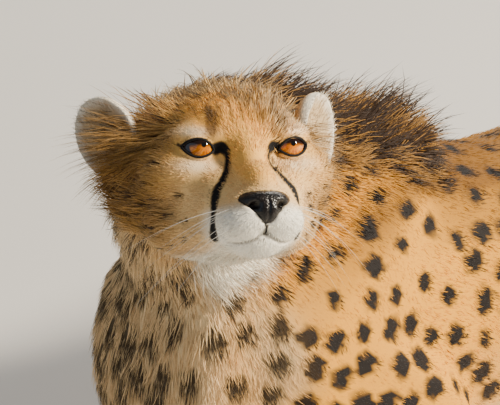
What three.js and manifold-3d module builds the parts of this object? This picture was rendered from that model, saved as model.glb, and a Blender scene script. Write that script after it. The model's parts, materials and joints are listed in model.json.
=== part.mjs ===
// A life-size cheetah lying on its breast, forelegs forward, looking round and up to its left.
// Millimetres, +Z up. The body faces -Y and its left side is +X. All sizes reach the tips of the coat.
import * as THREE from "three";
import { ParametricGeometry } from "three/addons/geometries/ParametricGeometry.js";
import { mergeVertices } from "three/addons/utils/BufferGeometryUtils.js";
import Module from "manifold-3d";

const wasm = await Module();
wasm.setup();

// ---- driving dimensions ----
const GAP = 0.4; // left between neighbouring parts
const FLOOR = 0; // every part that reaches it is trimmed flat here
const FAR = 3000; // larger than the animal, for cutting blocks

const EYES = new THREE.Vector3(163, -281, 435); // the point midway between the corneas
const HEAD_TURN = 69; // degrees to the animal's left
const HEAD_LIFT = 22.5; // degrees the face looks up
const HEAD_TILT = 6.6; // degrees its left ear leans down
const EYE_RADIUS = 16;
const EYE_SPREAD = 37; // from the mid plane to an eye's centre
const EYE_DEPTH = 14; // an eye's centre behind its cornea

const SCALE_OF_SMOOTHING = 14; // how far the masses of the head run into each other

const COAT = new THREE.Color(0xd9ac6a);
const PALE = new THREE.Color(0xe3d3b4);
const DARK = new THREE.Color(0x2a2320);
const AMBER = new THREE.Color(0xc8701c);

const rad = THREE.MathUtils.degToRad;
const vec = (x, y, z) => new THREE.Vector3(x, y, z);
const { lerp, clamp } = THREE.MathUtils;

// ---- solids ----

// A manifold solid from a closed geometry whose coincident vertices become one.
function toSolid(geometry) {
  const bare = geometry.clone();
  bare.deleteAttribute("normal");
  bare.deleteAttribute("uv");
  const merged = mergeVertices(bare, 1e-3);
  const index = merged.index.array;
  const kept = [];
  for (let i = 0; i < index.length; i += 3) {
    const [a, b, c] = [index[i], index[i + 1], index[i + 2]];
    if (a !== b && b !== c && c !== a) kept.push(a, b, c);
  }
  const mesh = new wasm.Mesh({
    numProp: 3,
    vertProperties: merged.attributes.position.array,
    triVerts: new Uint32Array(kept),
  });
  const solid = new wasm.Manifold(mesh);
  if (solid.volume() > 0) return solid;
  for (let i = 0; i < kept.length; i += 3) [kept[i], kept[i + 1]] = [kept[i + 1], kept[i]];
  mesh.triVerts = new Uint32Array(kept);
  return new wasm.Manifold(mesh);
}

// The geometry of a solid, for a three.js mesh.
function toGeometry(solid) {
  const { numProp, vertProperties, triVerts } = solid.getMesh();
  const count = vertProperties.length / numProp;
  const position = new Float32Array(count * 3);
  for (let i = 0; i < count; i++) {
    for (let axis = 0; axis < 3; axis++) position[3 * i + axis] = vertProperties[numProp * i + axis];
  }
  const geometry = new THREE.BufferGeometry();
  geometry.setAttribute("position", new THREE.BufferAttribute(position, 3));
  geometry.setIndex(new THREE.BufferAttribute(triVerts, 1));
  geometry.computeVertexNormals();
  return geometry;
}

// A block between two corners.
function block(low, high) {
  const size = high.clone().sub(low);
  const box = new THREE.BoxGeometry(size.x, size.y, size.z);
  box.translate((low.x + high.x) / 2, (low.y + high.y) / 2, (low.z + high.z) / 2);
  return toSolid(box);
}

// The largest piece of a solid, without the crumbs that a cut can leave.
function largest(solid) {
  return solid.decompose().reduce((best, piece) => (piece.volume() > best.volume() ? piece : best));
}

const aboveFloor = block(vec(-FAR, -FAR, FLOOR), vec(FAR, FAR, FAR));

// ---- lofts ----

// Values at even stations read off by a Catmull-Rom curve at t from 0 to 1.
function track(values) {
  const curve = new THREE.SplineCurve(values.map((v, i) => new THREE.Vector2(i, v)));
  return (t) => curve.getPoint(t).y;
}

const DOME_ROWS = 2; // rows in each rounded end of a loft

// A rounded body along a curve through its stations. Each station holds its centre, its half width
// across, and its reach above and below the centre; the ends are domes of the given lengths.
// side is the direction that "across" follows, "above" is the way crossed with it, and power
// squares the section where it is over 2. mirror is -1 for the right-hand one of a pair.
function loft({ stations, side, domes, ring, rows, power = 2.2, mirror = 1, grow = 0 }) {
  const curve = new THREE.CatmullRomCurve3(stations.map((s) => vec(...s.at)), false, "centripetal");
  const wide = track(stations.map((s) => s.wide));
  const above = track(stations.map((s) => s.above));
  const below = track(stations.map((s) => s.below ?? s.above));
  const length = curve.getLength();
  const [first, last] = domes.map((d) => d / length);
  const around = vec(...side);
  const edge = DOME_ROWS / rows;
  const place = (u, v, target) => {
    // u runs round the section and v along the body, with a few rows of its own in each dome
    const turn = u * 2 * Math.PI;
    const start = Math.min(v / edge, 1) * (Math.PI / 2);
    const end = Math.min((1 - v) / edge, 1) * (Math.PI / 2);
    const middle = clamp((v - edge) / (1 - 2 * edge), 0, 1) * (1 - first - last);
    const t = clamp(first * (1 - Math.cos(start)) + middle + last * Math.cos(end), 0, 1);
    const round = Math.sin(start) * Math.sin(end);
    const tangent = curve.getTangent(t);
    const across = around.clone().addScaledVector(tangent, -around.dot(tangent)).normalize();
    const lift = tangent.clone().cross(across);
    const c = Math.cos(turn);
    const s = Math.sin(turn);
    const x = Math.sign(c) * Math.abs(c) ** (2 / power) * (wide(t) + grow);
    const z = Math.sign(s) * Math.abs(s) ** (2 / power) * ((s > 0 ? above(t) : below(t)) + grow);
    target.copy(curve.getPoint(t));
    target.addScaledVector(across, x * round);
    target.addScaledVector(lift, z * round);
    target.addScaledVector(tangent, grow * (Math.cos(end) - Math.cos(start)));
    target.x *= mirror;
  };
  return toSolid(new ParametricGeometry(place, ring, rows));
}

// A station's short form.
const at = (x, y, z, wide, above, below) => ({ at: [x, y, z], wide, above, below });

// ---- the head ----

// The head's own frame: x to its left, y to its back, z up, with its origin between the corneas.
const headPlace = new THREE.Matrix4()
  .makeTranslation(EYES)
  .multiply(new THREE.Matrix4().makeRotationZ(rad(HEAD_TURN)))
  .multiply(new THREE.Matrix4().makeRotationX(rad(-HEAD_LIFT)))
  .multiply(new THREE.Matrix4().makeRotationY(rad(HEAD_TILT)));

// The masses of the head: centre, radii, and the same again on the other side when x isn't 0.
const HEAD_MASSES = [
  { at: [0, 66, 0], size: [61, 66, 51] }, // brain case
  { at: [0, 26, 10], size: [45, 32, 30] }, // forehead
  { at: [35, 17, 11], size: [23, 18, 12] }, // brow
  { at: [43, 32, -20], size: [37, 36, 30] }, // cheek bone
  { at: [54, 76, -30], size: [38, 40, 48] }, // ruff of the cheek
  { at: [36, 44, -60], size: [35, 46, 28] }, // angle of the jaw
  { at: [0, 62, -60], size: [44, 56, 34] }, // throat under the jaw
  { at: [0, 2, -6], size: [17, 20, 20] }, // root of the nose
  { at: [0, -20, -26], size: [17, 26, 18] }, // bridge of the nose
  { at: [24, 5, -42], size: [25, 31, 28] }, // side of the face
  { at: [0, -20, -50], size: [31, 32, 22] }, // muzzle
  { at: [17, -33, -58], size: [19, 19, 16] }, // whisker pad
  { at: [0, -40, -44], size: [17, 12, 14] }, // end of the nose
  { at: [22, 6, -66], size: [25, 32, 19] }, // jaw beside the mouth
  { at: [0, -22, -75], size: [20, 21, 14] }, // chin
];

// Distance from a point to an ellipsoid, near enough for blending.
function ellipsoid(point, centre, size) {
  const x = (point.x - centre[0]) / size[0];
  const y = (point.y - centre[1]) / size[1];
  const z = (point.z - centre[2]) / size[2];
  const reach = Math.hypot(x, y, z);
  const slope = Math.hypot(x / size[0], y / size[1], z / size[2]);
  return slope < 1e-9 ? -Math.min(...size) : (reach * (reach - 1)) / slope;
}

// The lesser of two distances, with a rounded crossing.
function blend(a, b, width) {
  const h = clamp(0.5 + (0.5 * (b - a)) / width, 0, 1);
  return lerp(b, a, h) - width * h * (1 - h);
}

// How far outside the head's surface a point lies.
function headField(point) {
  const folded = vec(Math.abs(point.x), point.y, point.z);
  return HEAD_MASSES.reduce(
    (best, mass) => blend(best, ellipsoid(folded, mass.at, mass.size), SCALE_OF_SMOOTHING),
    FAR,
  );
}

// The head's outer surface, seen from a core point inside it, and grown by a margin.
const HEAD_CORE = vec(0, 48, -16);
const FACE_AXIS = vec(0, -1, -0.28).normalize();
const HEAD_REACH = 170; // farther from the core than any of the head
const HEAD_STEP = 2; // between the places tried from outside inwards
const HEAD_HALVINGS = 12; // of the last step
const HEAD_DETAIL = [22, 20]; // round the face's axis, and from muzzle to nape
const FACE_CROWDING = 1.4; // over 1 to draw the rows towards the face
function headSolid(grow = 0) {
  const toFace = new THREE.Quaternion().setFromUnitVectors(vec(0, 0, 1), FACE_AXIS);
  const place = (u, v, target) => {
    // v runs from the muzzle to the nape, with its rows closer on the face
    const tilt = Math.PI * v ** FACE_CROWDING;
    const turn = u * 2 * Math.PI;
    const way = vec(Math.sin(tilt) * Math.cos(turn), Math.sin(tilt) * Math.sin(turn), Math.cos(tilt));
    way.applyQuaternion(toFace);
    const probe = (t) => headField(target.copy(HEAD_CORE).addScaledVector(way, t)) - grow;
    let outside = HEAD_REACH;
    while (probe(outside - HEAD_STEP) > 0) outside -= HEAD_STEP;
    let inside = outside - HEAD_STEP;
    for (let i = 0; i < HEAD_HALVINGS; i++) {
      const middle = (inside + outside) / 2;
      if (probe(middle) > 0) outside = middle;
      else inside = middle;
    }
    target.copy(HEAD_CORE).addScaledVector(way, outside).applyMatrix4(headPlace);
  };
  return toSolid(new ParametricGeometry(place, ...HEAD_DETAIL));
}

// A ball of three radii in the head's frame, turned about its own up and across axes.
function headBall({ centre, size, turn = 0, lean = 0, grow = 0, detail = [12, 7] }) {
  const ball = new THREE.SphereGeometry(1, ...detail);
  ball.scale(size[0] + grow, size[1] + grow, size[2] + grow);
  ball.rotateY(rad(lean));
  ball.rotateZ(rad(turn));
  ball.translate(...centre);
  ball.applyMatrix4(headPlace);
  return toSolid(ball);
}

function eyeball(side, grow = 0) {
  const size = [EYE_RADIUS, EYE_RADIUS, EYE_RADIUS];
  return headBall({ centre: [side * EYE_SPREAD, EYE_DEPTH, 0], size, grow, detail: [12, 8] });
}

// The almond opening between the lids, a shallow lens in front of the eyeball.
const OPENING_SIZE = [18, 10, 8.5];
const OPENING_TURN = 26; // towards its own side
const OPENING_LEAN = -7; // its inner corner the lower
function lidOpening(side) {
  const centre = [side * (EYE_SPREAD - 1), EYE_DEPTH - EYE_RADIUS + 1, 0];
  const [turn, lean] = [side * OPENING_TURN, side * OPENING_LEAN];
  return headBall({ centre, size: OPENING_SIZE, turn, lean });
}

// The leather of the nose.
const NOSE_AT = [0, -47, -44];
const NOSE_SIZE = [20.5, 11, 14];
const nosePad = (grow = 0) => headBall({ centre: NOSE_AT, size: NOSE_SIZE, grow });

// An ear is a cup: a ball of the outer size less one moved towards the opening.
const EAR_AT = [87, 92, 9]; // the left one's centre
const EAR_TURN = 46; // of its opening, from ahead towards its own side
const EAR_LEAN = { [-1]: 30, 1: 14 }; // of its tip, outwards
const EAR_OUTER = [28, 20, 37];
const EAR_INNER = [25, 22, 34];
const EAR_OFFSET = 20; // from the outer ball's centre to the inner one's
function ear(side, grow = 0) {
  const centre = vec(side * EAR_AT[0], EAR_AT[1], EAR_AT[2]);
  const [turn, lean] = [side * EAR_TURN, side * EAR_LEAN[side]];
  const outer = headBall({ centre: centre.toArray(), size: EAR_OUTER, turn, lean, grow });
  const forward = vec(0, -1, 0).applyAxisAngle(vec(0, 0, 1), rad(turn));
  const hollow = centre.clone().addScaledVector(forward, EAR_OFFSET);
  const inner = headBall({ centre: hollow.toArray(), size: EAR_INNER, turn, lean, grow: -grow });
  return outer.subtract(inner);
}

// ---- the neck and trunk ----

// The neck's upper reach takes in the mane, which stands up along the nape and over the withers.
const neck = (grow = 0) =>
  loft({
    stations: [
      at(0, 74, 208, 30, 118, 80),
      at(0, 18, 214, 54, 148, 96),
      at(0, -34, 218, 84, 148, 104),
      at(-6, -95, 248, 94, 138, 116),
      at(-4, -152, 288, 95, 130, 118),
      at(18, -198, 326, 91, 110, 104),
      at(54, -234, 356, 79, 90, 88),
      at(88, -252, 380, 62, 66, 64),
    ],
    side: [1, 0.25, 0],
    domes: [40, 40],
    ring: 12,
    rows: 10,
    grow,
  });

const trunk = (grow = 0) =>
  loft({
    stations: [
      at(-8, -272, 178, 78, 84, 70),
      at(-6, -228, 172, 104, 126, 128),
      at(0, -165, 164, 112, 144, 152),
      at(0, -90, 156, 113, 152, 162),
      at(0, 0, 150, 110, 160, 158),
      at(0, 90, 144, 108, 136, 152),
      at(0, 180, 140, 106, 132, 148),
      at(0, 270, 144, 98, 132, 148),
      at(0, 350, 154, 90, 130, 148),
      at(0, 430, 168, 88, 120, 138),
      at(0, 500, 180, 74, 94, 116),
      at(0, 545, 188, 50, 56, 78),
    ],
    side: [-1, 0, 0],
    domes: [34, 30],
    ring: 12,
    rows: 12,
    power: 2.25,
    grow,
  });

// ---- the legs, each a function of its side: +1 for the left, -1 for the right ----

const SPLAY = { [-1]: 30, 1: 12 }; // how far a forepaw lies outside its elbow
const WRIST = [118, -244]; // across and along, before the splay
const HOCK_TOES = [152, 318]; // where the hind foot's toes start

const shoulder = (mirror, grow = 0) =>
  loft({
    stations: [
      at(36, 18, 288, 30, 40, 36),
      at(46, -36, 256, 46, 78, 70),
      at(56, -94, 222, 56, 94, 84),
      at(66, -156, 188, 58, 86, 80),
      at(74, -214, 160, 50, 58, 56),
    ],
    side: [1, 0, 0.35],
    domes: [34, 50],
    ring: 8,
    rows: 7,
    mirror,
    grow,
  });

const upperArm = (mirror, grow = 0) =>
  loft({
    stations: [
      at(76, -206, 146, 46, 52, 52),
      at(82, -146, 134, 50, 78, 70),
      at(90, -80, 110, 47, 84, 70),
      at(100, -24, 78, 39, 60, 54),
      at(110, 16, 52, 29, 32, 44),
    ],
    side: [-1, 0, 0],
    domes: [44, 28],
    ring: 8,
    rows: 7,
    mirror,
    grow,
  });

const forearm = (mirror, grow = 0) => {
  const splay = SPLAY[mirror];
  return loft({
    stations: [
      at(116, 24, 44, 28, 32, 50),
      at(121, -30, 45, 31, 36, 50),
      at(120 + 0.3 * splay, -90, 42, 31, 33, 46),
      at(119 + 0.7 * splay, -160, 37, 25, 26, 40),
      at(WRIST[0] + splay, -222, 32, 24, 24, 36),
      at(WRIST[0] + splay, -262, 28, 23, 21, 32),
    ],
    side: [1, 0, 0],
    domes: [24, 14],
    ring: 8,
    rows: 8,
    mirror,
    grow,
  });
};

// A paw is a palm with four toes ahead of it, the middle two the longest.
const TOE_ACROSS = 16.5;
const TOE_REACH = [0, 11, 9, -5];
const TOE_LENGTH = 25;
const TOE_HEIGHT = 13;
const TOE_WIDTH = 9.6; // half of it
const TOES_START = 122; // ahead of the wrist

function palm([x, y], scale, mirror, grow) {
  return loft({
    stations: [
      at(x, y + 10, 28, 22 * scale, 20, 32),
      at(x, y - 34, 27, 30 * scale, 21, 32),
      at(x, y - 76, 22, 34 * scale, 19, 28),
      at(x, y - 102, 18, 31 * scale, 14, 24),
    ],
    side: [1, 0, 0],
    domes: [12, 16],
    ring: 8,
    rows: 5,
    mirror,
    grow,
  });
}

// Where a toe's tip lies, for the toe and its claw.
function toeTip([x, y], i, scale, mirror) {
  return vec(mirror * (x + (i - 1.5) * TOE_ACROSS * scale), y - TOES_START - TOE_REACH[i], TOE_HEIGHT);
}

function toe(tip, scale, grow) {
  const ball = new THREE.SphereGeometry(1, 5, 4);
  ball.scale(TOE_WIDTH * scale + grow, TOE_LENGTH + grow, TOE_HEIGHT + grow);
  ball.translate(tip.x, tip.y + 0.8 * TOE_LENGTH, tip.z + 1);
  return toSolid(ball);
}

function paw(start, scale, mirror, grow = 0) {
  const whole = palm(start, scale, mirror, grow);
  const tips = TOE_REACH.map((_, i) => toeTip(start, i, scale, mirror));
  return tips.reduce((made, tip) => made.add(toe(tip, scale, grow)), whole);
}

// A blunt claw: a cone along a way, bent down towards its tip.
const CLAW_RADIUS = 3.2;
const CLAW_DROP = 0.4; // of its length
function claw(root, way, length, grow = 0) {
  const drop = CLAW_DROP * length;
  const cone = new THREE.ConeGeometry(CLAW_RADIUS + grow, length + 2 * grow, 4, 2);
  cone.translate(0, length / 2, 0);
  const spots = cone.getAttribute("position");
  for (let i = 0; i < spots.count; i++) {
    const along = spots.getY(i) / length;
    spots.setZ(i, spots.getZ(i) - drop * along * along);
  }
  const across = vec(0, 0, 1).cross(way).normalize();
  const up = way.clone().cross(across);
  cone.applyMatrix4(new THREE.Matrix4().makeBasis(across, way, up).setPosition(root));
  return toSolid(cone);
}

const CLAW_LENGTH = 15;
const CLAW_ROOT = 3; // behind and above the toe's tip
const CLAW_WAY = vec(0, -1, -0.12).normalize();
function toeClaw(start, i, scale, mirror, grow) {
  const tip = toeTip(start, i, scale, mirror);
  return claw(vec(tip.x, tip.y + CLAW_ROOT, tip.z + CLAW_ROOT), CLAW_WAY, CLAW_LENGTH, grow);
}

// The dewclaw, on the inner side of the wrist.
const DEWCLAW = { inwards: 19, ahead: 6, height: 28 };
function dewclaw(mirror, grow) {
  const across = mirror * (WRIST[0] + SPLAY[mirror] - DEWCLAW.inwards);
  const root = vec(across, WRIST[1] - DEWCLAW.ahead, DEWCLAW.height);
  return claw(root, vec(-0.45 * mirror, -1, -0.2).normalize(), CLAW_LENGTH + 2, grow);
}

const thigh = (mirror, grow = 0) =>
  loft({
    stations: [
      at(50, 500, 226, 44, 46, 52),
      at(74, 440, 200, 54, 80, 78),
      at(98, 360, 166, 54, 90, 86),
      at(122, 284, 138, 44, 68, 68),
      at(136, 222, 118, 34, 43, 46),
    ],
    side: [1, 0, 0.3],
    domes: [44, 34],
    ring: 8,
    rows: 7,
    mirror,
    grow,
  });

const shank = (mirror, grow = 0) =>
  loft({
    stations: [
      at(138, 206, 102, 33, 38, 42),
      at(144, 270, 88, 34, 40, 44),
      at(148, 350, 74, 30, 34, 40),
      at(150, 424, 58, 23, 26, 34),
      at(150, 494, 42, 19, 22, 28),
    ],
    side: [-1, 0, 0],
    domes: [30, 16],
    ring: 8,
    rows: 7,
    mirror,
    grow,
  });

const hindFoot = (mirror, grow = 0) =>
  loft({
    stations: [
      at(150, 508, 34, 19, 26, 38),
      at(150, 440, 27, 18, 21, 31),
      at(151, 370, 24, 20, 19, 28),
      at(152, 300, 23, 22, 18, 27),
    ],
    side: [1, 0, 0],
    domes: [18, 12],
    ring: 8,
    rows: 6,
    mirror,
    grow,
  });

// ---- the tail, one loft parted into lengths ----

const TAIL_STATIONS = [
  at(0, 505, 222, 34, 34, 34),
  at(0, 556, 192, 30, 32, 32),
  at(4, 596, 132, 25, 25, 27),
  at(8, 640, 66, 22, 23, 24),
  at(18, 706, 27, 21, 20, 28),
  at(44, 790, 20, 20, 19, 22),
  at(92, 872, 19, 19, 18, 21),
  at(164, 940, 19, 19, 18, 21),
  at(250, 978, 20, 20, 19, 22),
  at(330, 984, 21, 22, 20, 23),
  at(392, 970, 20, 17, 17, 21),
];
const tail = (grow = 0) =>
  loft({ stations: TAIL_STATIONS, side: [0.3, 0, 1], domes: [24, 34], ring: 8, rows: 22, grow });

// ---- assembly ----

const FINISHES = {
  coat: { color: COAT, roughness: 0.9, metalness: 0 },
  pale: { color: PALE, roughness: 0.9, metalness: 0 },
  leather: { color: DARK, roughness: 0.45, metalness: 0 },
  horn: { color: DARK, roughness: 0.35, metalness: 0 },
  cornea: { color: AMBER, roughness: 0.08, metalness: 0 },
};

const SIDES = [
  ["left", 1],
  ["right", -1],
];
const eachSide = (make) => SIDES.flatMap(([name, side]) => make(name, side));

const HIND_PAW_SCALE = 0.86;
const FORE_START = { [-1]: [WRIST[0] + SPLAY[-1], WRIST[1]], 1: [WRIST[0] + SPLAY[1], WRIST[1]] };

const inFront = (y) => block(vec(-FAR, -FAR, -FAR), vec(FAR, y - GAP / 2, FAR));
const behind = (y) => block(vec(-FAR, y + GAP / 2, -FAR), vec(FAR, FAR, FAR));
const toRight = (x) => block(vec(-FAR, -FAR, -FAR), vec(x - GAP / 2, FAR, FAR));
const toLeft = (x) => block(vec(x + GAP / 2, -FAR, -FAR), vec(FAR, FAR, FAR));

const CHEST_END = 96;
const BELLY_END = 330;
const TAIL_ROOT_END = 630;
const TAIL_BEND = 850;
const TAIL_TIP_START = 232;

// Every part, from those that keep their whole shape to those that give way to all before them.
// Parts of one mass share its name and are parted by their slices.
const PARTS = [
  ...eachSide((name, side) => [
    { name: `eye_${name}`, finish: "cornea", mass: "eye", make: (grow) => eyeball(side, grow) },
  ]),
  { name: "nose", finish: "leather", make: nosePad },
  { name: "head", finish: "pale", make: headSolid, openings: [lidOpening(1), lidOpening(-1)] },
  ...eachSide((name, side) => [
    { name: `ear_${name}`, finish: "pale", make: (grow) => ear(side, grow) },
    {
      name: `dewclaw_${name}`,
      finish: "horn",
      mass: "claw",
      make: (grow) => dewclaw(side, grow),
    },
    ...TOE_REACH.flatMap((_, i) => [
      {
        name: `claw_fore_${name}_${i + 1}`,
        finish: "horn",
        mass: "claw",
        make: (grow) => toeClaw(FORE_START[side], i, 1, side, grow),
      },
      {
        name: `claw_hind_${name}_${i + 1}`,
        finish: "horn",
        mass: "claw",
        make: (grow) => toeClaw(HOCK_TOES, i, HIND_PAW_SCALE, side, grow),
      },
    ]),
    {
      name: `forepaw_${name}`,
      finish: "coat",
      make: (grow) => paw(FORE_START[side], 1, side, grow),
    },
    {
      name: `hind_paw_${name}`,
      finish: "coat",
      make: (grow) => paw(HOCK_TOES, HIND_PAW_SCALE, side, grow),
    },
    { name: `forearm_${name}`, finish: "coat", make: (grow) => forearm(side, grow) },
    { name: `upper_arm_${name}`, finish: "coat", make: (grow) => upperArm(side, grow) },
    { name: `shoulder_${name}`, finish: "coat", make: (grow) => shoulder(side, grow) },
    { name: `hind_foot_${name}`, finish: "coat", make: (grow) => hindFoot(side, grow) },
    { name: `shank_${name}`, finish: "coat", make: (grow) => shank(side, grow) },
    { name: `thigh_${name}`, finish: "coat", make: (grow) => thigh(side, grow) },
  ]),
  { name: "neck", finish: "coat", make: neck },
  { name: "chest", finish: "coat", mass: "trunk", make: trunk, slices: [inFront(CHEST_END)] },
  {
    name: "belly",
    finish: "coat",
    mass: "trunk",
    make: trunk,
    slices: [behind(CHEST_END), inFront(BELLY_END)],
  },
  { name: "hips", finish: "coat", mass: "trunk", make: trunk, slices: [behind(BELLY_END)] },
  { name: "tail_root", finish: "coat", mass: "tail", make: tail, slices: [inFront(TAIL_ROOT_END)] },
  {
    name: "tail_upper",
    finish: "coat",
    mass: "tail",
    make: tail,
    slices: [behind(TAIL_ROOT_END), inFront(TAIL_BEND)],
  },
  {
    name: "tail_lower",
    finish: "coat",
    mass: "tail",
    make: tail,
    slices: [behind(TAIL_BEND), toRight(TAIL_TIP_START)],
  },
  { name: "tail_tip", finish: "coat", mass: "tail", make: tail, slices: [toLeft(TAIL_TIP_START)] },
];

// Whether the boxes of two solids meet.
function near(a, b) {
  const [p, q] = [a.boundingBox(), b.boundingBox()];
  return [0, 1, 2].every((axis) => p.min[axis] < q.max[axis] && q.min[axis] < p.max[axis]);
}

const figure = new THREE.Group();
const grown = [];
for (const { name, finish, mass = name, make, slices = [], openings = [] } of PARTS) {
  let solid = make(0).intersect(aboveFloor);
  for (const slice of slices) solid = solid.intersect(slice);
  for (const opening of openings) solid = solid.subtract(opening);
  for (const other of grown) {
    if (other.mass !== mass && near(other.solid, solid)) solid = solid.subtract(other.solid);
  }
  const parted = grown.some((other) => other.mass === mass && other.make === make);
  if (!parted) grown.push({ mass, make, solid: make(GAP) });
  const material = new THREE.MeshStandardMaterial(FINISHES[finish]);
  const mesh = new THREE.Mesh(toGeometry(largest(solid)), material);
  mesh.name = name;
  figure.add(mesh);
}

// The frame's origin is at the middle of the box's floor.
const box = new THREE.Box3().setFromObject(figure);
const middle = box.getCenter(vec(0, 0, 0));
figure.position.set(-middle.x, -middle.y, -box.min.z);

export default figure;
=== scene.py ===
"""Skin, coat, eyes and nose of a life-size lying cheetah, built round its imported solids.

Every length below is in millimetres in the body's own frame, as in the part's source: the withers
stand over X 0 and Y 0, the body faces -Y, its left side is +X, and the floor is Z 0.
"""

import json
import logging
import math
from dataclasses import dataclass, field
from enum import Enum
from typing import Callable

import bpy
import numpy as np
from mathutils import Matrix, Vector
from mathutils.bvhtree import BVHTree
from mathutils.kdtree import KDTree

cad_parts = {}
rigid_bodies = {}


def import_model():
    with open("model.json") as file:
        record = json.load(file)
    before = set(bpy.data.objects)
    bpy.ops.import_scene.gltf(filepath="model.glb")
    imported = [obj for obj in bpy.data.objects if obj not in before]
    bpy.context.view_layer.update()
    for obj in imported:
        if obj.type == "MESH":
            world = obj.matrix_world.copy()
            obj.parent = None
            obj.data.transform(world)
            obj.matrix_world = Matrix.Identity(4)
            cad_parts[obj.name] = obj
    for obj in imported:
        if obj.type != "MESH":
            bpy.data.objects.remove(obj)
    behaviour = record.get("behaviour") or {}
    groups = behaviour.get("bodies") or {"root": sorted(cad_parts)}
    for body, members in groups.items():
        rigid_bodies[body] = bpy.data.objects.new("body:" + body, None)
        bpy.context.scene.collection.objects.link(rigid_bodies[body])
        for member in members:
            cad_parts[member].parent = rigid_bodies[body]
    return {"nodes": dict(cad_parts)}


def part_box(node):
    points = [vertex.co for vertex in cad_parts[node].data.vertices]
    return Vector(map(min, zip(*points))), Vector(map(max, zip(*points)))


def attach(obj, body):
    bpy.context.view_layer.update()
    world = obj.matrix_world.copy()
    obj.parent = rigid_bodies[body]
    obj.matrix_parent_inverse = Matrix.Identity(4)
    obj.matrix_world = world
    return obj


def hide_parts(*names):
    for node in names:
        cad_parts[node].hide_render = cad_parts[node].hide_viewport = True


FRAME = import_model()
LOG = logging.getLogger("cheetah")
Array = np.ndarray
Way = tuple[float, float, float]
BAKE_MAP = "OFBake"
COAT_COLOUR = "Coat"
PATCH = 0.003
SIDES = (("left", 1.0), ("right", -1.0))
MOST_TRIANGLES = 196_000
FEWEST_TUFTS = 20
HAIR_GROUND = 0.4
HEAD_MIDDLE = (0.0, 40.0, -16.0)
EAR_FOOT = (66.0, 62.0, 8.0)
WELD_GAP = 1e-6
WIRE_SIDES = 4


# ---- arithmetic on arrays ----


def row(*numbers: float) -> Array:
    """One array of numbers."""
    return np.array(numbers, float)


def unit(ways: Array) -> Array:
    """Ways divided by their own lengths."""
    return ways / np.maximum(np.linalg.norm(ways, axis=-1, keepdims=True), 1e-9)


def laid_along(ways: Array, normals: Array) -> Array:
    """Ways turned into the surface that the normals stand on."""
    return unit(ways - normals * (ways * normals).sum(1)[:, None])


def mirrored(points: Array) -> Array:
    """Points of the head's frame, all brought to its left side."""
    return np.stack([np.abs(points[:, 0]), points[:, 1], points[:, 2]], 1)


def apart(points: Array, place: Array) -> Array:
    """How far points are from a place."""
    return np.linalg.norm(points - place, axis=1)


def ring(count: int) -> Array:
    """Angles evenly round a circle."""
    return np.linspace(0.0, 2.0 * math.pi, count, endpoint=False)


def ease(low: float, high: float, values: Array) -> Array:
    """0 below low, 1 above high, and a smooth S between; low may be the greater."""
    t = np.clip((values - low) / (high - low), 0.0, 1.0)
    return t * t * (3.0 - 2.0 * t)


def hill(points: Array, centre: Way, widths: Way) -> Array:
    """A bell of height 1: e to the minus half of the squared distance over the widths."""
    return np.exp(-0.5 * (((points - row(*centre)) / row(*widths)) ** 2).sum(-1))


def between(first: Array, second: Array, share: Array) -> Array:
    """First where share is 0 and second where it is 1, for rows of colours or points."""
    share = np.asarray(share)[..., None]
    return first * (1.0 - share) + second * share


def turn_about(axis: int, degrees: float) -> Array:
    """The matrix of a right-handed turn about X (0), Y (1) or Z (2)."""
    c, s = math.cos(math.radians(degrees)), math.sin(math.radians(degrees))
    a, b = [(1, 2), (2, 0), (0, 1)][axis]
    made = np.eye(3)
    made[a, a] = made[b, b] = c
    made[a, b], made[b, a] = -s, s
    return made


def tint(red: int, green: int, blue: int) -> Array:
    """A colour from its usual 0 to 255 values, as the linear values that light uses."""
    c = row(red, green, blue) / 255.0
    return np.where(c <= 0.04045, c / 12.92, ((c + 0.055) / 1.055) ** 2.4)


def mottle(points: Array, size: float, seed: int) -> Array:
    """Smooth noise from -1 to 1: the mean of six sine waves, each along a way of its own.

    Args:
        points: where the noise is wanted.
        size: the length of a wave.
        seed: which noise.

    Returns:
        One value for each point.
    """
    rng = np.random.default_rng(seed)
    ways = unit(rng.normal(size=(6, 3))) * rng.uniform(0.7, 1.5, (6, 1)) * 2.0 * math.pi / size
    waves = np.sin(points @ ways.T + rng.uniform(0.0, 2.0 * math.pi, 6))
    return np.clip(waves.mean(-1) * 1.7, -1.0, 1.0)


def path_distance(points: Array, path: Array) -> tuple[Array, Array]:
    """Distance to a path of straight lines, and the share of its length that is passed there.

    Args:
        points: the places asked about.
        path: the path's corners in order.

    Returns:
        The distances and the shares from 0 to 1.
    """
    spans = np.linalg.norm(np.diff(path, axis=0), axis=1)
    starts = np.concatenate([[0.0], np.cumsum(spans)])
    best = np.full(len(points), 1e9)
    share = np.zeros(len(points))
    for i, span in enumerate(spans):
        way = (path[i + 1] - path[i]) / span
        along = np.clip((points - path[i]) @ way, 0.0, span)
        away = np.linalg.norm(points - path[i] - along[:, None] * way, axis=1)
        nearer = away < best
        best = np.where(nearer, away, best)
        share = np.where(nearer, (starts[i] + along) / starts[-1], share)
    return best, share


# ---- where things are ----


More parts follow.
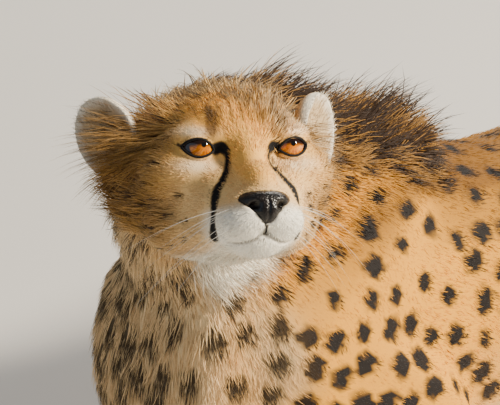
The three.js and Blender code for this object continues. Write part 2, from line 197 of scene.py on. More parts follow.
@dataclass
class Layout:
    """The frames of the body and of the head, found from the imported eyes."""

    eyes: Way = (163.0, -281.0, 435.0)
    head_turn: float = 69.0
    head_lift: float = 22.5
    head_tilt: float = 6.6
    eye_spread: float = 37.0
    eye_depth: float = 14.0
    eye_radius: float = 16.0
    shift: Array = field(default_factory=lambda: np.zeros(3))

    def __post_init__(self) -> None:
        """Works out the head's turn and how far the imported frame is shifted."""
        level = turn_about(2, self.head_turn) @ turn_about(0, -self.head_lift)
        self.head = level @ turn_about(1, self.head_tilt)
        corners = [np.array(c) for side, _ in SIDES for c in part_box(f"eye_{side}")]
        packed = 1000.0 * np.mean(corners, axis=0)
        self.shift = packed - self.from_head(row(0.0, self.eye_depth, 0.0))

    def from_head(self, points: Array) -> Array:
        """Points of the head's frame (left, back, up from between the corneas) in the body's."""
        return points @ self.head.T + row(*self.eyes)

    def to_head(self, points: Array) -> Array:
        """Points of the body's frame in the head's."""
        return (points - row(*self.eyes)) @ self.head

    def to_scene(self, points: Array) -> Array:
        """Body millimetres as the scene's metres."""
        return (points + self.shift) / 1000.0

    def from_scene(self, points: Array) -> Array:
        """The scene's metres as body millimetres."""
        return points * 1000.0 - self.shift


@dataclass
class HeadForm:
    """The head's masses, whose rounded union is the outline of its coat."""

    smoothing: float = 14.0
    masses: tuple[tuple[Way, Way], ...] = (
        ((0, 66, 0), (61, 66, 51)),  # brain case
        ((0, 26, 10), (45, 32, 30)),  # forehead
        ((35, 17, 11), (23, 18, 12)),  # brow
        ((43, 32, -20), (37, 36, 30)),  # cheek bone
        ((54, 76, -30), (38, 40, 48)),  # ruff of the cheek
        ((36, 44, -60), (35, 46, 28)),  # angle of the jaw
        ((0, 62, -60), (44, 56, 34)),  # throat under the jaw
        ((0, 2, -6), (17, 20, 20)),  # root of the nose
        ((0, -20, -26), (17, 26, 18)),  # bridge of the nose
        ((24, 5, -42), (25, 31, 28)),  # side of the face
        ((0, -20, -50), (31, 32, 22)),  # muzzle
        ((17, -33, -58), (19, 19, 16)),  # whisker pad
        ((0, -40, -44), (17, 12, 14)),  # end of the nose
        ((22, 6, -66), (25, 32, 19)),  # jaw beside the mouth
        ((0, -22, -75), (20, 21, 14)),  # chin
    )
    far: float = 3000.0

    @staticmethod
    def joined(first: Array, second: Array, width: float) -> Array:
        """The lesser of two distances, with a crossing rounded over a width."""
        h = np.clip(0.5 + 0.5 * (second - first) / width, 0.0, 1.0)
        return second * (1.0 - h) + first * h - width * h * (1.0 - h)

    @staticmethod
    def ellipsoid(points: Array, centre: Way, size: Way) -> Array:
        """Distance to an ellipsoid: r (r - 1) over the slope of r, where r is the scaled radius."""
        scaled = (points - row(*centre)) / row(*size)
        reach = np.linalg.norm(scaled, axis=-1)
        slope = np.linalg.norm(scaled / row(*size), axis=-1)
        return reach * (reach - 1.0) / np.maximum(slope, 1e-9)

    def distance(self, points: Array) -> Array:
        """How far outside the head's outline points of its frame lie."""
        folded = points * row(0, 1, 1) + np.abs(points) * row(1, 0, 0)
        best = np.full(len(points), self.far)
        for centre, size in self.masses:
            best = self.joined(best, self.ellipsoid(folded, centre, size), self.smoothing)
        return best

    def slope(self, points: Array, step: float = 0.5) -> Array:
        """The gradient of the distance, from its differences over a small step."""
        steps = np.eye(3) * step
        return np.stack(
            [(self.distance(points + s) - self.distance(points - s)) / (2 * step) for s in steps],
            axis=-1,
        )

    def laid(self, points: Array, level: Array, rounds: int = 4) -> Array:
        """Points moved along the gradient until their distance is level."""
        for _ in range(rounds):
            slope = self.slope(points)
            miss = self.distance(points) - level
            points = points - slope * (miss / np.maximum((slope**2).sum(-1), 0.2))[:, None]
        return points

    def front(self, x: Array, z: Array, level: float, start: float = -90.0) -> Array:
        """The Y where a line from the front at each X and Z first meets the level, by stepping."""
        y = np.full(x.shape, start)
        for _ in range(60):
            points = np.stack([x, y, z], -1).reshape(-1, 3)
            y = y + 0.8 * (self.distance(points).reshape(x.shape) - level)
        return y


# ---- surfaces ----


@dataclass
class Surface:
    """A closed surface of triangles."""

    points: Array
    faces: Array

    def edges(self) -> tuple[Array, Array]:
        """Each edge once as two corners, and each face's three edges by number."""
        f = self.faces
        pairs = np.sort(np.concatenate([f[:, [0, 1]], f[:, [1, 2]], f[:, [2, 0]]]), axis=1)
        keys = pairs[:, 0].astype(np.int64) * len(self.points) + pairs[:, 1]
        _, first, which = np.unique(keys, return_index=True, return_inverse=True)
        return pairs[first], which.reshape(3, -1).T

    def face_areas(self) -> Array:
        """Vectors across each face as long as twice its area."""
        a, b, c = (self.points[self.faces[:, i]] for i in range(3))
        return np.cross(b - a, c - a)

    def normals(self) -> Array:
        """The outward way at each point, the mean of its faces' by area."""
        areas = self.face_areas()
        made = np.zeros_like(self.points)
        for axis in range(3):
            for corner in range(3):
                made[:, axis] += np.bincount(
                    self.faces[:, corner], areas[:, axis], len(self.points)
                )
        return unit(made)

    def evened(self, values: Array, rounds: int, share: Array | float = 0.5) -> Array:
        """Values at the points, each moved by a share towards its neighbours' mean, in rounds."""
        pairs, _ = self.edges()
        a, b = np.concatenate([pairs, pairs[:, ::-1]]).T
        count = len(self.points)
        around = np.maximum(np.bincount(a, minlength=count), 1)
        flat = values.reshape(count, -1).astype(float)
        share = np.broadcast_to(np.asarray(share, float), (count,))
        for _ in range(rounds):
            for column in range(flat.shape[1]):
                mean = np.bincount(a, flat[b, column], count) / around
                flat[:, column] += share * (mean - flat[:, column])
        return flat.reshape(values.shape)

    def smoothed(self, rounds: int, share: Array | float) -> "Surface":
        """The surface with its points evened out, and a little swollen back each round."""
        points = self.points
        for _ in range(rounds):
            points = self.evened(points, 1, share)
            points = self.evened(points, 1, -0.55 * np.asarray(share))
        return Surface(points, self.faces)

    def refined(self, longest: Callable[[Array], Array]) -> "Surface":
        """The surface with edges halved until each is shorter than longest(its middle).

        Args:
            longest: the greatest length of an edge about each of some points.

        Returns:
            The finer surface. A face with one, two or three halved edges becomes two, three or
            four faces.
        """
        made = Surface(self.points, self.faces)
        for _ in range(6):
            pairs, which = made.edges()
            ends = made.points[pairs]
            middles = ends.mean(1)
            long = np.linalg.norm(ends[:, 0] - ends[:, 1], axis=1) > longest(middles)
            if not long.any():
                break
            number = np.where(long, len(made.points) + np.cumsum(long) - 1, -1)
            points = np.concatenate([made.points, middles[long]])
            cut = number[which]
            count = (cut >= 0).sum(1)
            # turned so that a face's first halved edge comes first, or its whole edge last
            turn = np.where(count == 2, (np.argmin(cut, 1) + 1) % 3, np.argmax(cut >= 0, 1))
            order = (turn[:, None] + np.arange(3)) % 3
            face = np.take_along_axis(made.faces, order, 1)
            edge = np.take_along_axis(cut, order, 1)
            (a, b, c), (ab, bc, ca) = face.T, edge.T
            parts = {
                0: [(a, b, c)],
                1: [(a, ab, c), (ab, b, c)],
                2: [(ab, b, bc), (a, ab, bc), (a, bc, c)],
                3: [(a, ab, ca), (ab, b, bc), (ca, bc, c), (ab, bc, ca)],
            }
            faces = [
                np.stack([corner[count == n] for corner in part], 1)
                for n, some in parts.items()
                for part in some
            ]
            made = Surface(points, np.concatenate(faces))
        return made


def read_mesh(mesh: bpy.types.Mesh) -> tuple[Array, Array]:
    """A mesh's points, and its triangles by corner number."""
    places = np.zeros(len(mesh.vertices) * 3)
    mesh.vertices.foreach_get("co", places)
    mesh.calc_loop_triangles()
    corners = np.zeros(len(mesh.loop_triangles) * 3, np.int32)
    mesh.loop_triangles.foreach_get("vertices", corners)
    return places.reshape(-1, 3), corners.reshape(-1, 3)


def grid_faces(rows: int, columns: int, wrap_rows: bool, wrap_columns: bool) -> Array:
    """Triangles over a grid of points numbered row by row, joined round where it wraps."""
    i = np.arange(rows if wrap_rows else rows - 1)
    j = np.arange(columns if wrap_columns else columns - 1)
    i, j = (g.ravel() for g in np.meshgrid(i, j, indexing="ij"))
    k, m = (i + 1) % rows, (j + 1) % columns
    a, b, c, d = i * columns + j, i * columns + m, k * columns + m, k * columns + j
    return np.concatenate([np.stack([a, b, c], 1), np.stack([a, c, d], 1)])


def facing_out(points: Array, faces: Array) -> Array:
    """The faces, turned round if the volume that they enclose comes out below nothing."""
    a, b, c = (points[faces[:, i]] for i in range(3))
    volume = (np.cross(a, b) * c).sum()
    return faces if volume > 0 else faces[:, ::-1]


def make_piece(
    name: str,
    points: Array,
    faces: Array,
    colours: Array | None = None,
    maps: dict[str, Array] | None = None,
) -> bpy.types.Object:
    """A mesh object at the origin.

    Args:
        name: the piece's name.
        points: its corners in metres.
        faces: its triangles.
        colours: a colour for each corner, kept as the coat's colour attribute.
        maps: UV maps by name, each with a row for every corner of every face.

    Returns:
        The new object, in the scene.
    """
    mesh = bpy.data.meshes.new(name)
    mesh.vertices.add(len(points))
    mesh.vertices.foreach_set("co", points.astype(np.float32).ravel())
    mesh.loops.add(faces.size)
    mesh.loops.foreach_set("vertex_index", faces.astype(np.int32).ravel())
    mesh.polygons.add(len(faces))
    mesh.polygons.foreach_set("loop_start", np.arange(0, faces.size, 3, dtype=np.int32))
    mesh.polygons.foreach_set("use_smooth", np.ones(len(faces), bool))
    mesh.update(calc_edges=True)
    if colours is not None:
        attribute = mesh.color_attributes.new(COAT_COLOUR, "FLOAT_COLOR", "POINT")
        opaque = np.concatenate([colours, np.ones((len(colours), 1))], 1)
        attribute.data.foreach_set("color", opaque.astype(np.float32).ravel())
    for title, places in (maps or {}).items():
        layer = mesh.uv_layers.new(name=title)
        layer.uv.foreach_set("vector", places.astype(np.float32).ravel())
    piece = bpy.data.objects.new(name, mesh)
    bpy.context.scene.collection.objects.link(piece)
    return piece


# ---- materials ----


class Value:
    """A socket of a material's nodes that takes part in arithmetic."""

    def __init__(self, wiring: "Wiring", socket: bpy.types.NodeSocket) -> None:
        """Keeps the socket and the material that it belongs to."""
        self.wiring = wiring
        self.socket = socket

    def _math(self, operation: str, first: "Value | float", second: "Value | float") -> "Value":
        """A Math node on two values."""
        return self.wiring.node("ShaderNodeMath", {"operation": operation}, {0: first, 1: second})

    def __add__(self, other: "Value | float") -> "Value":
        """The sum."""
        return self._math("ADD", self, other)

    __radd__ = __add__

    def __sub__(self, other: "Value | float") -> "Value":
        """The difference."""
        return self._math("SUBTRACT", self, other)

    def __rsub__(self, other: "Value | float") -> "Value":
        """The difference the other way."""
        return self._math("SUBTRACT", other, self)

    def __mul__(self, other: "Value | float") -> "Value":
        """The product."""
        return self._math("MULTIPLY", self, other)

    __rmul__ = __mul__

    def __truediv__(self, other: "Value | float") -> "Value":
        """The quotient."""
        return self._math("DIVIDE", self, other)

    def ramp(self, low: float, high: float) -> "Value":
        """A smooth step from 0 at low to 1 at high; low may be the greater."""
        return self.wiring.node(
            "ShaderNodeMapRange",
            {"interpolation_type": "SMOOTHSTEP"},
            {"Value": self, "From Min": low, "From Max": high},
        )


class Wiring:
    """One material and the nodes that it is made of."""

    def __init__(self, name: str) -> None:
        """A material with a Principled shader alone."""
        self.material = bpy.data.materials.new(name)
        self.material.use_nodes = True
        self.tree = self.material.node_tree
        self.shader = self.tree.nodes["Principled BSDF"]

    def node(
        self,
        kind: str,
        settings: dict[str, object] | None = None,
        inputs: dict[str | int, object] | None = None,
        output: str | int = 0,
    ) -> Value:
        """A node of any type.

        Args:
            kind: the node's type.
            settings: its own settings, and "stops" for a ramp's places and colours.
            inputs: values or links for its sockets, by name or number.
            output: the socket that is read.

        Returns:
            That socket as a value.
        """
        made = self.tree.nodes.new(kind)
        for key, setting in (settings or {}).items():
            if key != "stops":
                setattr(made, key, setting)
                continue
            ramp = made.color_ramp
            while len(ramp.elements) < len(setting):
                ramp.elements.new(1.0)
            for element, (place, colour) in zip(ramp.elements, setting):
                element.position = place
                element.color = (*colour, 1.0)
        for key, given in (inputs or {}).items():
            self.feed(made.inputs[key], given)
        return Value(self, made.outputs[output])

    def feed(self, socket: bpy.types.NodeSocket, given: object) -> None:
        """Links a value to a socket, or sets the socket to a constant."""
        if isinstance(given, Value):
            self.tree.links.new(given.socket, socket)
        elif isinstance(given, (int, float)):
            socket.default_value = given
        else:
            parts = [float(x) for x in given]
            size = len(socket.default_value)
            socket.default_value = parts + [1.0] * (size - len(parts))

    def blend(
        self, share: "Value | float", first: object, second: object, how: str = "MIX"
    ) -> Value:
        """A Mix node on two colours."""
        mix = self.tree.nodes.new("ShaderNodeMix")
        mix.data_type = "RGBA"
        mix.blend_type = how
        self.feed(mix.inputs[0], share)
        self.feed(mix.inputs[6], first)
        self.feed(mix.inputs[7], second)
        return Value(self, mix.outputs[2])

    def noise(self, scale: float, detail: float = 2.0, way: object = None) -> Value:
        """Noise over the object's own coordinates, or over a given way; waves to a metre."""
        place = way or self.node("ShaderNodeTexCoord", output="Object")
        inputs = {"Vector": place, "Scale": scale, "Detail": detail}
        return self.node("ShaderNodeTexNoise", {}, inputs)

    def bump(self, height: Value, strength: float, distance: float) -> None:
        """Raises the surface by a height from 0 to 1 over a distance in metres."""
        inputs = {"Height": height, "Strength": strength, "Distance": distance}
        self.feed(self.shader.inputs["Normal"], self.node("ShaderNodeBump", {}, inputs))

    def finish(self, **sockets: object) -> bpy.types.Material:
        """Feeds the shader's sockets by name, with _ for a space, and gives the material."""
        for key, given in sockets.items():
            self.feed(self.shader.inputs[key.replace("_", " ")], given)
        return self.material


@dataclass(frozen=True)
class CoatFinish:
    """Soft hair that carries the coat's own colours, a little varied."""

    roughness: float = 0.7
    sheen: float = 0.08
    fleck: float = 0.14
    grain: float = 1500.0
    drift: float = 34.0
    relief: float = 0.0008

    def make(self, name: str, bumpy: bool) -> bpy.types.Material:
        """The material: attribute colour, times fine grain, times a slow drift."""
        w = Wiring(name)
        colour = w.node("ShaderNodeAttribute", {"attribute_name": COAT_COLOUR})
        grain = w.noise(self.grain, 1.0)
        shade = 1.0 - self.fleck * (grain - 0.5) * 2.0
        drift = 1.0 + 0.12 * (w.noise(self.drift, 3.0) - 0.5)
        tone = w.node("ShaderNodeCombineColor", {}, {i: shade * drift for i in range(3)})
        if bumpy:
            w.bump(grain, 0.5, self.relief)
        return w.finish(
            Base_Color=w.blend(1.0, colour, tone, "MULTIPLY"),
            Roughness=self.roughness,
            Sheen_Weight=self.sheen,
            Sheen_Roughness=0.45,
            Specular_IOR_Level=0.2,
        )


@dataclass(frozen=True)
class NoseFinish:
    """Damp black leather with fine pebbles."""

    pebbles: float = 620.0
    relief: float = 0.0006

    def make(self) -> bpy.types.Material:
        """The material: cells for the pebbles, and a sheen that varies with a slow noise."""
        w = Wiring("nose_leather")
        place = w.node("ShaderNodeTexCoord", output="Object")
        cells = w.node(
            "ShaderNodeTexVoronoi", {}, {"Vector": place, "Scale": self.pebbles}, "Distance"
        )
        damp = w.noise(120.0, 3.0)
        w.bump(1.0 - cells, 0.55, self.relief)
        tone = w.blend(damp.ramp(0.35, 0.7), tint(8, 5, 5), tint(22, 15, 14))
        return w.finish(
            Base_Color=tone, Roughness=0.2 + 0.22 * damp, Specular_IOR_Level=0.38
        )


@dataclass(frozen=True)
class HornFinish:
    """The smooth dark horn of the claws."""

    def make(self) -> bpy.types.Material:
        """The material: brown streaks along the horn."""
        w = Wiring("claw_horn")
        place = w.node("ShaderNodeTexCoord", output="Object")
        squeeze = w.node("ShaderNodeMapping", {}, {"Vector": place, "Scale": (1.0, 0.12, 1.0)})
        streaks = w.noise(1400.0, 2.0, squeeze)
        tone = w.blend(streaks.ramp(0.35, 0.75), tint(34, 27, 24), tint(96, 78, 62))
        w.bump(streaks, 0.3, 0.0003)
        return w.finish(Base_Color=tone, Roughness=0.32)


@dataclass(frozen=True)
class IrisFinish:
    """A wet eye: round pupil, amber iris, dark ring and brown white-of-the-eye, with painted shade
    of the upper lid over the top of the iris.

    The eye's own map has the gaze at its middle, and a share of 1 from there is the map's reach.
    """

    pupil: float = 0.085
    iris: float = 0.55
    ring: float = 0.615

    def make(self) -> bpy.types.Material:
        """The material, from the distance and the turn about the middle of the eye's map."""
        w = Wiring("wet_eye")
        at = w.node("ShaderNodeUVMap", {"uv_map": "Gaze"})
        mid = w.node(
            "ShaderNodeVectorMath", {"operation": "SUBTRACT"}, {0: at, 1: (0.5, 0.5, 0.0)}
        )
        reach = 2.0 * w.node("ShaderNodeVectorMath", {"operation": "LENGTH"}, {0: mid}, "Value")
        across = w.node("ShaderNodeSeparateXYZ", {}, {0: mid})
        upward = w.node("ShaderNodeSeparateXYZ", {}, {0: mid}, "Y")
        turn = w.node("ShaderNodeMath", {"operation": "ARCTAN2"}, {0: upward, 1: across})
        rays = w.node(
            "ShaderNodeCombineXYZ",
            {},
            {0: 5.0 * w.node("ShaderNodeMath", {"operation": "SINE"}, {0: turn}),
             1: 5.0 * w.node("ShaderNodeMath", {"operation": "COSINE"}, {0: turn}),
             2: 2.0 * reach},
        )
        streaks = w.noise(2.6, 3.0, rays)
        amber = w.blend(streaks.ramp(0.3, 0.72), tint(166, 78, 0), tint(228, 142, 8))
        deep = w.blend(reach.ramp(self.pupil + 0.02, self.pupil + 0.13), tint(200, 112, 6), amber)
        # painted shade of the upper lid: the top of the iris darkened nearly to black
        lidded = w.blend(upward.ramp(-0.06, 0.03), deep, tint(28, 11, 5))
        ringed = w.blend(reach.ramp(self.iris - 0.07, self.iris), lidded, tint(16, 7, 5))
        white = w.blend(reach.ramp(self.ring - 0.03, self.ring + 0.03), ringed, tint(34, 15, 10))
        colour = w.blend(reach.ramp(self.pupil + 0.012, self.pupil - 0.012), white, tint(6, 5, 6))
        return w.finish(
            Base_Color=colour,
            Roughness=0.06,
            Specular_IOR_Level=0.3,
            Coat_Weight=0.4,
            Coat_Roughness=0.03,
        )


@dataclass(frozen=True)
class FloorFinish:
    """A plain pale floor."""

    def make(self) -> bpy.types.Material:
        """The material: an even pale grey with a faint drift."""
        w = Wiring("pale_floor")
        drift = w.noise(2.0, 2.0)
        return w.finish(
            Base_Color=w.blend(drift, tint(214, 210, 203), tint(220, 216, 210)), Roughness=0.9
        )


# ---- the lie, length and colours of the coat ----


@dataclass(frozen=True)
class Fur:
    """How the hair grows on one region.

    depth is how far the skin lies inside the outline; length and width are a tuft's; per_cm2 is
    how many stand on a square centimetre; lift is a tuft's angle at its root and way its lie, in
    body axes for the left side; smoothing is how much the flesh under it is evened out.
    """

    depth: float
    length: float
    width: float
    per_cm2: float
    lift: float
    way: Way = (0.0, 0.0, 0.0)
    smoothing: float = 0.5


FURS: dict[str, Fur] = {
    "head": Fur(3.2, 8.5, 1.0, 26.0, 16.0, smoothing=0.3),
    "ear": Fur(1.5, 3.6, 0.65, 34.0, 14.0, smoothing=0.0),
    "neck": Fur(8.0, 16.0, 0.95, 16.0, 20.0, (-0.30, 0.75, -0.58)),
    "chest": Fur(5.5, 9.0, 0.95, 12.0, 12.0, (0.0, 0.9, -0.45)),
    "belly": Fur(5.0, 12.0, 1.4, 5.6, 14.0, (0.0, 1.0, -0.25)),
    "hips": Fur(5.0, 12.0, 1.4, 5.6, 14.0, (0.0, 0.9, -0.4)),
    "shoulder": Fur(3.8, 6.8, 0.8, 20.0, 9.0, (0.0, 0.55, -0.8)),
    "upper_arm": Fur(3.8, 7.0, 0.85, 15.0, 10.0, (0.0, 0.85, -0.5)),
    "forearm": Fur(3.5, 8.0, 1.05, 7.2, 14.0, (0.0, -1.0, -0.2), 0.35),
    "forepaw": Fur(2.4, 6.0, 0.95, 9.5, 15.0, (0.0, -1.0, -0.12), 0.12),
    "thigh": Fur(5.0, 11.0, 1.3, 6.6, 14.0, (0.0, 0.45, -0.85)),
    "shank": Fur(4.0, 9.0, 1.15, 6.4, 14.0, (0.0, 1.0, -0.35), 0.35),
    "hind_foot": Fur(2.8, 7.0, 1.05, 7.4, 14.0, (0.0, -1.0, -0.1), 0.3),
    "hind_paw": Fur(2.4, 6.0, 0.95, 9.5, 15.0, (0.0, -1.0, -0.1), 0.12),
    "tail": Fur(5.0, 13.0, 1.3, 9.0, 18.0, smoothing=0.4),
}


FUR_SIZES = ("depth", "length", "width", "per_cm2", "lift")


def kind_of(node: str) -> str:
    """The coat's region for a node's name."""
    plain = node.replace("_left", "").replace("_right", "")
    return "tail" if plain.startswith("tail") else plain


@dataclass
class Paint:
    """The cheetah's colours."""

    tawny: Array = field(default_factory=lambda: tint(230, 160, 36))
    # the darker tone of the back and nape, deepened past the coat's own so that it also paints the
    # shade on the back's top
    saddle: Array = field(default_factory=lambda: tint(120, 78, 14))
    cream: Array = field(default_factory=lambda: tint(228, 197, 148))
    white: Array = field(default_factory=lambda: tint(252, 244, 226))
    smoke: Array = field(default_factory=lambda: tint(132, 104, 66))
    umber: Array = field(default_factory=lambda: tint(44, 28, 17))
    black: Array = field(default_factory=lambda: tint(19, 12, 9))
    jet: Array = field(default_factory=lambda: tint(10, 7, 7))
    brow: Array = field(default_factory=lambda: tint(250, 178, 64))
    sand: Array = field(default_factory=lambda: tint(232, 180, 96))


class Rosette(Enum):
    """Kinds of spot: its radius, and the distance kept between two middles of that kind."""

    FLANK = (11.8, 28.0)
    SHOULDER = (11.6, 26.5)
    NECK = (9.8, 23.5)
    LEG = (6.4, 17.0)
    FOOT = (3.8, 12.5)
    FACE = (2.9, 12.0)
    NONE = (0.0, 30.0)


SPOTTED: dict[str, Rosette] = {
    "head": Rosette.FACE,
    "ear": Rosette.NONE,
    "neck": Rosette.NECK,
    "chest": Rosette.SHOULDER,
    "belly": Rosette.FLANK,
    "hips": Rosette.FLANK,
    "shoulder": Rosette.SHOULDER,
    "upper_arm": Rosette.SHOULDER,
    "forearm": Rosette.LEG,
    "forepaw": Rosette.FOOT,
    "thigh": Rosette.FLANK,
    "shank": Rosette.LEG,
    "hind_foot": Rosette.FOOT,
    "hind_paw": Rosette.FOOT,
    "tail": Rosette.SHOULDER,
}


@dataclass
class EyeForm:
    """An eye's place in the head and the almond between its lids.

    Its axis turns out from straight ahead by toe_out; half_width, above and below are the
    almond's half angles seen from the eye's middle, and slant raises its outer corner.
    """

    layout: Layout
    side: float
    toe_out: float = 12.5
    half_width: float = 47.0
    above: float = 24.5
    below: float = 20.5
    slant: float = 7.0
    gaze: Way = (0.06, -1.0, 0.17)
    lid_radius: float = 17.1

    @property
    def middle(self) -> Array:
        """The eyeball's middle in the head's frame."""
        return row(self.side * self.layout.eye_spread, self.layout.eye_depth, 0.0)

    def axes(self) -> Array:
        """Rows: outward along the opening, forward along the eye's axis, and up."""
        a = math.radians(self.toe_out)
        outward = row(self.side * math.cos(a), math.sin(a), 0.0)
        forward = row(self.side * math.sin(a), -math.cos(a), 0.0)
        s = math.radians(self.slant)
        up = row(0.0, 0.0, 1.0)
        return np.stack([
            outward * math.cos(s) + up * math.sin(s),
            forward,
            up * math.cos(s) - outward * math.sin(s),
        ])

    def angles(self, head_points: Array) -> tuple[Array, Array]:
        """Degrees outward and up of the lids' own ball, for points looked at along the axis."""
        local = (head_points - self.middle) @ self.axes().T / self.lid_radius
        across = np.degrees(np.arcsin(np.clip(local[:, 0], -1.0, 1.0)))
        rise = np.degrees(np.arcsin(np.clip(local[:, 2], -1.0, 1.0)))
        return across, rise

    def edge(self, across: Array, upper: Array) -> Array:
        """The almond's height at each angle across: a pointed arch, fuller on its inner side."""
        t = np.clip(across / self.half_width, -1.0, 1.0)
        arch = np.clip(1.0 - t * t, 0.0, 1.0)
        high = self.above * arch**0.92 * (1.0 - 0.12 * t)
        low = -self.below * arch**1.05 * (1.0 - 0.06 * t)
        return np.where(upper, high, low)

    def outside(self, head_points: Array) -> Array:
        """Roughly how many degrees outside the almond points lie; below 0 is between the lids."""
        across, rise = self.angles(head_points)
        room = np.maximum(np.abs(across) - self.half_width, 0.0)
        over = np.abs(rise) - np.abs(self.edge(across, rise > 0.0))
        return np.where(room > 0.0, np.hypot(room, np.maximum(over, 0.0)), over)

    def rim(self, count: int, outward: float) -> tuple[Array, Array]:
        """Unit ways from the eye's middle round the almond, moved outward by some degrees.

        Args:
            count: how many ways.
            outward: degrees away from the almond's edge.

        Returns:
            The ways, and the ways across the edge that point away from the opening.
        """
        turn = ring(count)
        across = self.half_width * np.cos(turn)
        rise = self.edge(across, np.sin(turn) > 0.0) * np.where(np.abs(np.sin(turn)) > 1e-9, 1, 0)
        flat = np.stack([across, rise], 1)
        along = np.roll(flat, -1, 0) - np.roll(flat, 1, 0)
        away = unit(np.stack([along[:, 1], -along[:, 0]], 1))
        flat = flat + away * outward
        rad = np.radians(flat)
        local = np.stack(
            [np.sin(rad[:, 0]) * np.cos(rad[:, 1]),
             np.cos(rad[:, 0]) * np.cos(rad[:, 1]),
             np.sin(rad[:, 1])], 1)
        ways = local @ self.axes()
        return ways, away


